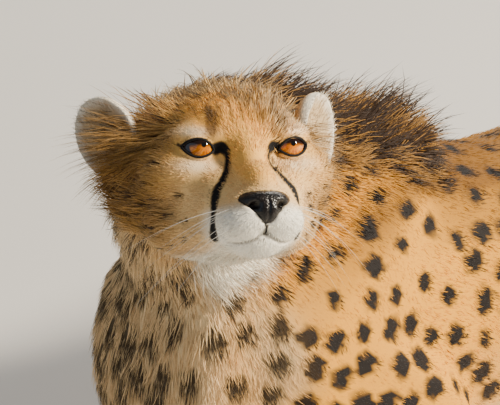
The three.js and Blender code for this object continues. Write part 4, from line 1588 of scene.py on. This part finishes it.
    def strewn_spots(self) -> tuple[Array, Array]:
        """The spots' middles and radii: random places, kept if clear of the earlier ones."""
        areas = np.linalg.norm(self.whole.face_areas(), axis=1)
        hairy = self.kind[self.whole.faces[:, 0]] >= 0
        face, corner = self.scattered(areas * hairy, self.spot_tries, self.seed)
        places = self.at(self.whole.points, face, corner)
        rng = np.random.default_rng(self.seed + 1)
        order = rng.permutation(len(places))
        face, places = face[order], places[order]
        kinds = self.kind[self.whole.faces[face, 0]]
        sizes = np.array([SPOTTED[self.kinds[k]].value for k in kinds])
        share = self.at(self.tail, face, np.full((len(face), 3), 1 / 3))
        h = self.layout.to_head(places)
        bare = (share > self.spots_end) | (sizes[:, 0] == 0.0)
        bare |= (kinds == self.kinds.index("head")) & self.spotless(h)
        kept = np.zeros((0, 3))
        radii: list[float] = []
        for place, (radius, gap), skip in zip(places, sizes, bare):
            if skip:
                continue
            if len(kept) and (((kept - place) ** 2).sum(1) < gap * gap).any():
                continue
            kept = np.vstack([kept, place])
            radii.append(radius * rng.uniform(0.72, 1.12))
        return kept, np.array(radii)

    @staticmethod
    def spotless(h: Array) -> Array:
        """Whether places on the head bear no spots: the muzzle, the nose and round the eyes."""
        x, y, z = mirrored(h).T
        muzzle = (y < 2.0) & (z < 0.0)
        throat = (z < -72.0) & (x < 50.0)
        eye = (x > 14.0) & (x < 66.0) & (z > -34.0) & (z < 16.0) & (y < 30.0)
        brow = (x < 62.0) & (z > -10.0) & (z < 34.0) & (y < 24.0)
        return muzzle | throat | eye | brow

    def make(self) -> bpy.types.Object:
        """The skin as a piece in place of all the flesh, unwrapped over its own shape."""
        skin = make_piece(
            "skin", self.layout.to_scene(self.whole.points), self.whole.faces, self.tone
        )
        skin.data.uv_layers.new(name=BAKE_MAP)
        limits = {"angle_limit": self.seam_angle, "island_margin": self.island_margin}
        with_all(skin, lambda: bpy.ops.uv.smart_project(**limits))
        flat = np.zeros(self.whole.faces.size * 2, np.float32)
        skin.data.uv_layers[BAKE_MAP].uv.foreach_get("vector", flat)
        self.unwrap = flat.reshape(-1, 3, 2)
        skin.data.materials.append(CoatFinish().make("skin_fur", True))
        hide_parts(*self.nodes)
        return settle(skin)


# ---- the coat ----


@dataclass(frozen=True)
class Tufts:
    """Many thin closed locks of hair, each a tapered blade of three sides along a bent line."""

    rings: int
    fullness: float = 0.32
    embed: float = 0.6

    def grow(
        self,
        roots: Array,
        normals: Array,
        ways: Array,
        sizes: Array,
        lift: Array,
        droop: Array,
        bend: Array,
        drift: Array,
    ) -> tuple[Array, Array, Array]:
        """Blades whose line leaves each root at the lift and ends at the droop.

        The angle over the skin runs evenly from one to the other, the line swings sideways by the
        bend, and its points are carried by the drift times the square of the share passed.

        Args:
            roots: where each blade starts.
            normals: the skin's outward ways.
            ways: the lie of the hair.
            sizes: length and width.
            lift: degrees over the skin at the root.
            droop: degrees over the skin at the tip.
            bend: degrees of sideways swing.
            drift: how far and which way each tip is carried.

        Returns:
            The points, the faces, and each point's share of its blade's length.
        """
        across = np.cross(ways, normals)
        count = len(roots)
        line = roots - normals * self.embed
        shares = np.linspace(0.0, 1.0, self.rings + 1)
        points = np.zeros((count, 3 * self.rings + 1, 3))
        corners = np.array([[-0.5, 0.0], [0.5, 0.0], [0.0, self.fullness]])
        fullest = 0.35
        for i, share in enumerate(shares):
            rise = np.radians(lift + (droop - lift) * share)[:, None]
            swing = np.radians(bend * share)[:, None]
            level = ways * np.cos(swing) + across * np.sin(swing)
            way = level * np.cos(rise) + normals * np.sin(rise)
            if i:
                step = 0.5 * (way + before) * sizes[:, :1] * (share - shares[i - 1])
                line = line + step
            before = way
            here = line + drift * (share * share)
            if i == self.rings:
                points[:, -1] = here
                break
            out = np.cross(across, way)
            girth = min(1.0, 0.7 + share / fullest * 0.3) if share < fullest else 1.0
            girth *= (1.0 - share) ** 0.55
            width = sizes[:, 1:] * girth
            for j, (u, v) in enumerate(corners):
                points[:, 3 * i + j] = here + across * width * u + out * width * v
        faces = [[0, 2, 1]]
        for i in range(self.rings - 1):
            for j in range(3):
                a, b = 3 * i + j, 3 * i + (j + 1) % 3
                faces += [[a, b, b + 3], [a, b + 3, a + 3]]
        tip = 3 * self.rings
        faces += [[tip - 3 + j, tip - 3 + (j + 1) % 3, tip] for j in range(3)]
        one = np.array(faces)
        one = facing_out(points[0], one)
        every = (one[None] + (np.arange(count) * (tip + 1))[:, None, None]).reshape(-1, 3)
        along = np.append(np.repeat(shares[:-1], 3), 1.0)
        return points.reshape(-1, 3), every, np.tile(along, count)


@dataclass
class Coat:
    """All the tufts over the skin, in pieces by region."""

    skin: Skin
    crowd: float = 1.0
    long_hair: float = 20.0
    mane_hair: float = 38.0
    lock: int = 22
    dark_locks: float = 0.48
    seed: int = 29
    groups: dict[str, tuple[str, ...]] = field(default_factory=lambda: {
        "head": ("head",), "ears": ("ear",), "neck": ("neck",), "chest": ("chest",),
        "belly": ("belly",), "hips": ("hips",), "shoulders": ("shoulder",),
        "upper_arms": ("upper_arm",), "forelegs": ("forearm", "forepaw"), "thighs": ("thigh",),
        "hind_legs": ("shank", "hind_foot", "hind_paw"), "tail": ("tail",),
    })

    def make(self) -> list[bpy.types.Object]:
        """Grows every region's tufts and makes its pieces."""
        skin = self.skin
        finish = CoatFinish().make("hair", False)
        areas = 0.5 * np.linalg.norm(skin.whole.face_areas(), axis=1) / 100.0
        corner_kind = skin.kind[skin.whole.faces]
        crowd = skin.fur[skin.whole.faces, 3].mean(1) * areas * (corner_kind.min(1) >= 0)
        pieces = []
        for number, (name, kinds) in enumerate(self.groups.items()):
            wanted = np.isin(corner_kind[:, 0], [skin.kinds.index(k) for k in kinds])
            weight = crowd * wanted
            count = int(weight.sum() * self.crowd)
            face, corner = skin.scattered(weight, count, self.seed + number)
            pieces += self.region(name, face, corner, finish, self.seed + 100 + number)
        return pieces

    def region(
        self, name: str, face: Array, corner: Array, finish: bpy.types.Material, seed: int
    ) -> list[bpy.types.Object]:
        """One region's pieces: its short and its long tufts, split where they are too many."""
        skin = self.skin
        rng = np.random.default_rng(seed)
        kept = ~self.bare(skin.at(skin.whole.points, face, corner))
        face, corner = face[kept], corner[kept]
        length = skin.at(skin.fur[:, 1], face, corner)
        made = []
        for label, chosen, rings in (
            ("", length <= self.long_hair, 2),
            ("_long", (length > self.long_hair) & (length <= self.mane_hair), 3),
            ("_mane", length > self.mane_hair, 5),
        ):
            each = 6 * rings - 2
            total = int(chosen.sum())
            if total < FEWEST_TUFTS:
                continue
            parts = math.ceil(total * each / MOST_TRIANGLES)
            pick = rng.permutation(np.flatnonzero(chosen))
            for i, some in enumerate(np.array_split(pick, parts)):
                title = f"coat_{name}{label}" + (f"_{i + 1}" if parts > 1 else "")
                made.append(self.piece(title, face[some], corner[some], rings, finish, rng))
        return made

    def bare(self, places: Array) -> Array:
        """Whether places grow no hair: the eyes, their rims and the leather of the nose."""
        h = self.skin.layout.to_head(places)
        bare = self.skin.nose.covers(h, 0.4)
        for eye in self.skin.eyes:
            near = apart(h, eye.middle) < 27.0
            bare |= near & (eye.outside(h) < 3.2)
        return bare

    def piece(
        self,
        title: str,
        face: Array,
        corner: Array,
        rings: int,
        finish: bpy.types.Material,
        rng: np.random.Generator,
    ) -> bpy.types.Object:
        """Tufts at some places of the skin, as one piece with the coat's colours and bake map."""
        skin = self.skin
        roots = skin.at(skin.whole.points, face, corner)
        normals = unit(skin.at(skin.normals, face, corner))
        ways = skin.at(skin.way, face, corner)
        ways = laid_along(ways, normals)
        fur = skin.at(skin.fur, face, corner)
        tail = skin.at(skin.tail, face, corner)
        pale = skin.at(skin.pale, face, corner)
        kinds = skin.kind[skin.whole.faces[face, 0]]
        count = len(roots)
        clump = mottle(roots, 21.0, 41)
        swing = 13.0 * clump + rng.normal(0.0, 7.0, count)
        side = np.cross(ways, normals)
        turn = np.radians(swing)[:, None]
        ways = ways * np.cos(turn) + side * np.sin(turn)
        length = fur[:, 1] * rng.uniform(0.72, 1.22, count) * (1.0 + 0.12 * clump)
        width = fur[:, 2] * rng.uniform(0.75, 1.25, count)
        lift = fur[:, 4] * rng.uniform(0.65, 1.3, count) * (1.0 + 0.25 * mottle(roots, 15.0, 43))
        long = ease(18.0, 45.0, length)
        droop = lift * (0.25 + 0.2 * long)
        bend = rng.normal(0.0, 9.0, count) * (1.0 + long)
        middles, draw = self.locks(roots, rng)
        mane = skin.markings.mane(roots, normals)
        pull = (middles - roots) * (0.85 * long)[:, None]
        length = length * (1.0 + 0.5 * (0.4 - draw) * mane)
        drift = pull - row(0, 0, 0.06) * (length * long)[:, None]
        points, faces, along = Tufts(rings).grow(
            roots, normals, ways, np.stack([length, width], 1), lift, droop, bend, drift
        )
        points[:, 2] = np.maximum(points[:, 2], HAIR_GROUND)
        tone = skin.colours(roots, normals, pale, tail, kinds)
        tone = tone * (1.0 + rng.uniform(-1.0, 1.0, count) * (0.12 + 0.06 * long))[:, None]
        forward = ease(-135.0, -215.0, roots[:, 1])
        shaded = ease(0.08, 0.4, mane) * (draw < self.dark_locks) * (1.0 - 0.7 * forward)
        tone = between(tone, skin.markings.paint.umber, 0.92 * shaded)
        tips = self.tip_tone(roots, tone, mane, draw, rng)
        each = 3 * rings + 1
        share = along**1.4
        colours = between(np.repeat(tone, each, 0), np.repeat(tips, each, 0), share)
        unwrap = (skin.unwrap[face] * corner[:, :, None]).sum(1)
        lap = faces % each
        spread = np.stack([along[:each] - 0.5, (np.arange(each) % 3 - 1.0) / 2.2], 1) * PATCH
        maps = np.repeat(unwrap, len(faces) // count, 0)[:, None, :] + spread[lap]
        maps = np.clip(maps, 0.0, 1.0).reshape(-1, 2)
        piece = make_piece(
            title, skin.layout.to_scene(points), faces, np.clip(colours, 0, 1), {BAKE_MAP: maps}
        )
        piece.data.materials.append(finish)
        return settle(piece)

    def locks(self, roots: Array, rng: np.random.Generator) -> tuple[Array, Array]:
        """The lock each tuft belongs to: its middle, and a number from 0 to 1 of the lock's own."""
        middles = roots[rng.permutation(len(roots))[: max(1, len(roots) // self.lock)]]
        tree = KDTree(len(middles))
        for i, middle in enumerate(middles):
            tree.insert(middle, i)
        tree.balance()
        which = np.array([tree.find(p)[1] for p in roots])
        return middles[which], rng.uniform(size=len(middles))[which]

    def tip_tone(
        self, roots: Array, tone: Array, mane: Array, draw: Array, rng: np.random.Generator
    ) -> Array:
        """The colour of the tufts' ends: paler, but dark or straw by the lock in the mantle.

        Args:
            roots: the tufts' roots.
            tone: their colours there.
            mane: how far each lies in the mantle.
            draw: each lock's number from 0 to 1.
            rng: the draw of single dark hairs.

        Returns:
            A colour for each tuft's end.
        """
        markings = self.skin.markings
        paint = markings.paint
        pale = np.minimum(tone * 1.12, 1.0)
        single = rng.uniform(size=len(roots))
        forward = ease(-135.0, -215.0, roots[:, 1])
        dark = (draw < self.dark_locks * (1.0 - 0.5 * forward))[:, None] | (single < 0.12)[:, None]
        straw = between(paint.tawny, paint.smoke, 0.45 + 0.25 * (draw > 0.75))
        straw = between(straw, between(paint.cream, paint.smoke, 0.25), 0.85 * forward)
        mantle = np.where(dark, paint.umber, straw)
        brindled = (single < 0.36)[:, None]
        mixed = np.where(brindled, between(tone, paint.umber, 0.7), np.minimum(tone * 1.3, 1.0))
        ends = between(pale, mixed, 0.8 * markings.brindle(roots))
        return between(ends, mantle, 0.95 * ease(0.08, 0.45, mane))


# ---- nose, eyes, whiskers and claws ----


@dataclass
class Nose:
    """The leather of the nose, a cushion laid over the end of the muzzle."""

    layout: Layout
    form: HeadForm
    middle: Way = (0.0, 0.0, -41.5)
    half_width: float = 21.5
    top: float = 8.0
    bottom: float = 18.0
    swell: float = 3.6
    lowered: float = 9.0
    rings: int = 30
    spokes: int = 96

    def outline(self, turn: Array) -> Array:
        """The pad's reach from its middle: a rounded triangle, wide above and narrow below."""
        c, s = np.cos(turn), np.sin(turn)
        tall = np.where(s > 0.0, self.top, self.bottom)
        narrow = np.where(s > 0.0, 1.0, 1.0 - 0.66 * np.abs(s) ** 0.8)
        power = 2.6
        reach = (np.abs(c / (self.half_width * narrow)) ** power + np.abs(s / tall) ** power)
        return reach ** (-1.0 / power)

    def under(self, h: Array) -> Array:
        """How far points of the head's frame lie within the pad's outline: 1 well inside it."""
        x, z = h[:, 0], h[:, 2] - self.middle[2]
        share = np.hypot(x, z) / self.outline(np.arctan2(z, x))
        return ease(0.98, 0.84, share) * (h[:, 1] < -34.0)

    def covers(self, h: Array, margin: float) -> Array:
        """Whether points of the head's frame lie under the pad or within a margin of it."""
        x, z = h[:, 0], h[:, 2] - self.middle[2]
        within = np.hypot(x, z) < self.outline(np.arctan2(z, x)) + margin
        return within & (h[:, 1] < -43.0)

    def make(self) -> bpy.types.Object:
        """The pad: rings grow from the middle to the outline, on the muzzle's front plus a swell.

        The swell falls as (1 - r^5), and a little further at the edge with r^8. Each wing adds to
        it, and each nostril, its slit and the groove down the middle take from it. The back is the
        same grid drawn inside the muzzle.
        """
        r = np.linspace(0.0, 1.0, self.rings)[:, None]
        turn = ring(self.spokes)[None, :]
        reach = self.outline(turn) * r**0.9
        x = reach * np.cos(turn) + self.middle[0]
        z = reach * np.sin(turn) + self.middle[2]
        y = self.form.front(x, z, -1.6)
        ax = np.abs(x)
        level = z - self.middle[2]
        swell = self.swell * (1.0 - r**5) - 1.2 * r**8
        hole = np.exp(-(((ax - 11.0) / 3.4) ** 2) - ((level + 3.6) / 2.9) ** 2)
        slit = np.exp(-(((ax - 16.0) / 3.4) ** 2) - ((level + 5.0) / 1.25) ** 2)
        wing = np.exp(-(((ax - 12.5) / 5.5) ** 2) - ((level - 2.4) / 2.4) ** 2)
        groove = np.exp(-((x / 1.1) ** 2)) * ease(3.0, -4.0, level)
        swell = swell + 1.3 * wing - 6.5 * hole - 3.2 * slit - 1.0 * groove
        front = np.stack([x, y - swell, z], -1)
        back = np.stack([x * 0.94, y + 5.0 + 0.0 * r, self.middle[2] + level * 0.94], -1)
        grid = np.concatenate([front, back[::-1]])
        faces = grid_faces(2 * self.rings, self.spokes, False, True)
        placed = self.layout.from_head(grid.reshape(-1, 3))
        piece = make_piece(
            "nose_leather", self.layout.to_scene(placed), facing_out(placed, faces)
        )
        weld(piece)
        piece.data.materials.append(NoseFinish().make())
        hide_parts("nose")
        return settle(piece)


@dataclass
class Eyeball:
    """One eyeball, with its cornea swelling round the gaze."""

    layout: Layout
    form: EyeForm
    name: str
    cornea: float = 1.3
    cornea_reach: float = 36.0
    map_reach: float = 80.0
    rings: int = 48
    spokes: int = 64

    def make(self) -> bpy.types.Object:
        """The ball: radius plus cornea times a smooth fall from the gaze, over tilt and turn.

        The eye's own map puts a point's tilt from the gaze along its turn, from the middle.
        """
        tilt = np.radians(180.0) * np.linspace(0.0, 1.0, self.rings)[:, None] ** 1.35
        turn = ring(self.spokes)[None, :]
        forward = unit(row(*self.form.gaze))
        across = unit(np.cross(forward, row(0, 0, 1)))
        up = np.cross(across, forward)
        swell = self.cornea * ease(math.radians(self.cornea_reach), 0.1, tilt)
        reach = self.layout.eye_radius - 0.25 + swell
        ways = (
            forward * np.cos(tilt)[..., None]
            + across * (np.sin(tilt) * np.cos(turn))[..., None]
            + up * (np.sin(tilt) * np.sin(turn))[..., None]
        )
        grid = self.form.middle + ways * reach[..., None]
        faces = grid_faces(self.rings, self.spokes, False, True)
        placed = self.layout.from_head(grid.reshape(-1, 3))
        flat = 0.5 * np.clip(np.degrees(tilt) / self.map_reach, 0.0, 1.0)
        u = (0.5 + flat * np.cos(turn)).ravel()
        v = (0.5 + flat * np.sin(turn)).ravel()
        faces = facing_out(placed, faces)
        maps = np.stack([u[faces], v[faces]], -1).reshape(-1, 2)
        piece = make_piece(
            f"eyeball_{self.name}", self.layout.to_scene(placed), faces, maps={"Gaze": maps}
        )
        weld(piece)
        piece.data.materials.append(IrisFinish().make())
        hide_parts(f"eye_{self.name}")
        return settle(piece)


@dataclass
class Whiskers:
    """Long pale hairs that sweep out and back from the whisker pads."""

    layout: Layout
    form: HeadForm
    count: int = 10
    width: float = 0.36
    rings: int = 12
    seed: int = 5

    def make(self) -> bpy.types.Object:
        """Each hair is a tapered tube of four sides along a line that droops with its square."""
        rng = np.random.default_rng(self.seed)
        side = np.repeat([1.0, -1.0], self.count)
        line = np.tile(np.arange(self.count) % 4, 2)
        place = np.tile(np.arange(self.count) // 4, 2)
        start = np.stack([
            side * (22.0 + 4.0 * place + rng.uniform(-1, 1, len(side))),
            -40.0 + 5.0 * place,
            -50.0 - 4.6 * line,
        ], 1)
        start = self.form.laid(start, np.full(len(start), -2.5))
        way = unit(np.stack([
            side * rng.uniform(0.85, 1.1, len(side)),
            rng.uniform(0.0, 0.5, len(side)),
            -0.28 - 0.12 * line + rng.normal(0.0, 0.14, len(side)),
        ], 1))
        length = rng.uniform(42.0, 84.0, len(side))[:, None, None]
        s = np.linspace(0.0, 1.0, self.rings)[None, :, None]
        path = start[:, None] + way[:, None] * length * s
        path = path + row(0, 0.28, -0.30) * length * s * s
        along = unit(np.gradient(path, axis=1))
        across = unit(np.cross(along, row(0, 0, 1)))
        out = np.cross(along, across)
        turn = ring(WIRE_SIDES)
        girth = 0.5 * self.width * (1.0 - 0.93 * s)
        tube = (
            path[:, :, None]
            + (across[:, :, None] * np.cos(turn)[:, None] + out[:, :, None] * np.sin(turn)[:, None])
            * girth[:, :, None]
        )
        each = self.rings * WIRE_SIDES
        one = grid_faces(self.rings, WIRE_SIDES, False, True)
        last = each - WIRE_SIDES
        start_cap = np.array([[0, 2, 1], [0, 3, 2]])
        ends = np.concatenate([start_cap, last + np.array([[0, 1, 2], [0, 2, 3]])])
        one = np.concatenate([one, ends])
        flat = self.layout.from_head(tube.reshape(-1, 3))
        one = facing_out(flat[:each], one)
        faces = (one[None] + (np.arange(len(side)) * each)[:, None, None]).reshape(-1, 3)
        colours = np.tile(tint(244, 238, 226), (len(flat), 1))
        piece = make_piece("whiskers", self.layout.to_scene(flat), faces, colours)
        piece.data.materials.append(CoatFinish(roughness=0.45).make("whisker_hair", False))
        return settle(piece)


# ---- helpers for pieces ----


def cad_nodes() -> list[str]:
    """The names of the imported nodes."""
    return list(FRAME["nodes"])


def settle(piece: bpy.types.Object) -> bpy.types.Object:
    """Rides a piece on the one body and reports it."""
    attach(piece, "root")
    LOG.info("%s: %d triangles", piece.name, len(piece.data.polygons))
    return piece


def with_all(piece: bpy.types.Object, work: Callable[[], object]) -> None:
    """Does some work in edit mode on a piece alone, with all of it selected."""
    for other in bpy.context.view_layer.objects:
        other.select_set(other == piece)
    bpy.context.view_layer.objects.active = piece
    bpy.ops.object.mode_set(mode="EDIT")
    bpy.ops.mesh.select_all(action="SELECT")
    work()
    bpy.ops.object.mode_set(mode="OBJECT")
    piece.select_set(False)


def weld(piece: bpy.types.Object) -> None:
    """Merges a piece's coincident points, as at a pole, and turns its faces outwards."""
    with_all(piece, lambda: bpy.ops.mesh.remove_doubles(threshold=WELD_GAP))
    with_all(piece, lambda: bpy.ops.mesh.normals_make_consistent(inside=False))


# ---- the room ----


@dataclass
class Studio:
    """The floor, the lights and the camera.

    The camera stands off the point between the eyes at its azimuth and elevation, and aims a
    little to the right of it and below.
    """

    layout: Layout
    azimuth: float = 50.0
    elevation: float = 24.0
    distance: float = 3.5
    lens: float = 319.0
    aside: float = 0.0027
    below: float = 0.0432

    def ways(self) -> tuple[Vector, Vector, Vector]:
        """The ways back to the camera, to its right and up."""
        a, e = math.radians(self.azimuth), math.radians(self.elevation)
        back = Vector(
            (math.sin(a) * math.cos(e), -math.cos(a) * math.cos(e), math.sin(e))
        )
        right = Vector((math.cos(a), math.sin(a), 0.0))
        return back, right, back.cross(right)

    def camera(self) -> None:
        """Places the camera and makes it the scene's."""
        back, right, up = self.ways()
        eyes = Vector(self.layout.to_scene(row(*self.layout.eyes)))
        aim = eyes + right * self.aside - up * self.below
        data = bpy.data.cameras.new("camera")
        data.lens = self.lens
        data.sensor_width = 36.0
        data.clip_start, data.clip_end = 0.1, 60.0
        bpy.context.scene.camera = self.aimed(data, aim + back * self.distance, -back)

    @staticmethod
    def aimed(data: bpy.types.ID, place: Vector, way: Vector) -> bpy.types.Object:
        """A camera or a lamp at a place, that looks a way."""
        made = bpy.data.objects.new(data.name, data)
        made.location = place
        made.rotation_mode = "QUATERNION"
        made.rotation_quaternion = way.to_track_quat("-Z", "Y")
        bpy.context.scene.collection.objects.link(made)
        return made

    def lamp(self, name: str, place: Vector, size: float, power: float, colour: Way) -> None:
        """A square soft light that faces the head."""
        data = bpy.data.lights.new(name, "AREA")
        data.shape = "SQUARE"
        data.size = size
        data.energy = power
        data.color = colour
        target = Vector(self.layout.to_scene(row(60, -120, 300)))
        self.aimed(data, place, target - place)

    def build(self) -> None:
        """Makes the floor, the lights and the soft surroundings."""
        self.camera()
        back, right, _ = self.ways()
        level = Vector((back.x, back.y, 0.0)).normalized()
        rise = Vector((0.0, 0.0, 1.0))
        self.lamp("key", right * 3.1 + level * 0.75 + rise * 2.3, 0.6, 455.0, (1.0, 0.90, 0.74))
        self.lamp("fill", right * -2.4 + level * 2.2 + rise * 1.6, 2.4, 14.0, (0.62, 0.78, 1.0))
        self.lamp("rear", right * 0.6 + level * -2.4 + rise * 2.4, 1.6, 70.0, (1.0, 0.95, 0.86))
        world = bpy.data.worlds.new("surroundings")
        world.use_nodes = True
        sky = world.node_tree.nodes["Background"]
        sky.inputs["Color"].default_value = (0.86, 0.88, 0.92, 1.0)
        sky.inputs["Strength"].default_value = 0.26
        bpy.context.scene.world = world
        half = 40.0
        corners = np.array([(-1, -1, 0), (1, -1, 0), (1, 1, 0), (-1, 1, 0)]) * half
        floor = make_piece("floor", corners, np.array([[0, 1, 2], [0, 2, 3]]))
        floor.data.materials.append(FloorFinish().make())


def dress_claws() -> None:
    """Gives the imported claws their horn."""
    horn = HornFinish().make()
    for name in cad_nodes():
        if "claw" in name:
            claw = bpy.data.objects[name]
            claw.data.materials.clear()
            claw.data.materials.append(horn)


def main() -> None:
    """Builds the cheetah and the room round it."""
    logging.basicConfig(level=logging.INFO, format="%(relativeCreated)6d %(message)s")
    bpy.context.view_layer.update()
    layout = Layout()
    Studio(layout).build()
    form = HeadForm()
    eyes = (EyeForm(layout, 1.0), EyeForm(layout, -1.0))
    markings = Markings(layout, form, Paint(), eyes)
    nose = Nose(layout, form)
    skin = Skin(layout, form, eyes, markings, Ears(layout), Lids(layout), nose)
    skin.build()
    skin.make()
    Coat(skin).make()
    nose.make()
    for (name, _), eye in zip(SIDES, eyes):
        Eyeball(layout, eye, name).make()
    Whiskers(layout, form).make()
    dress_claws()


if __name__ == "__main__":
    main()
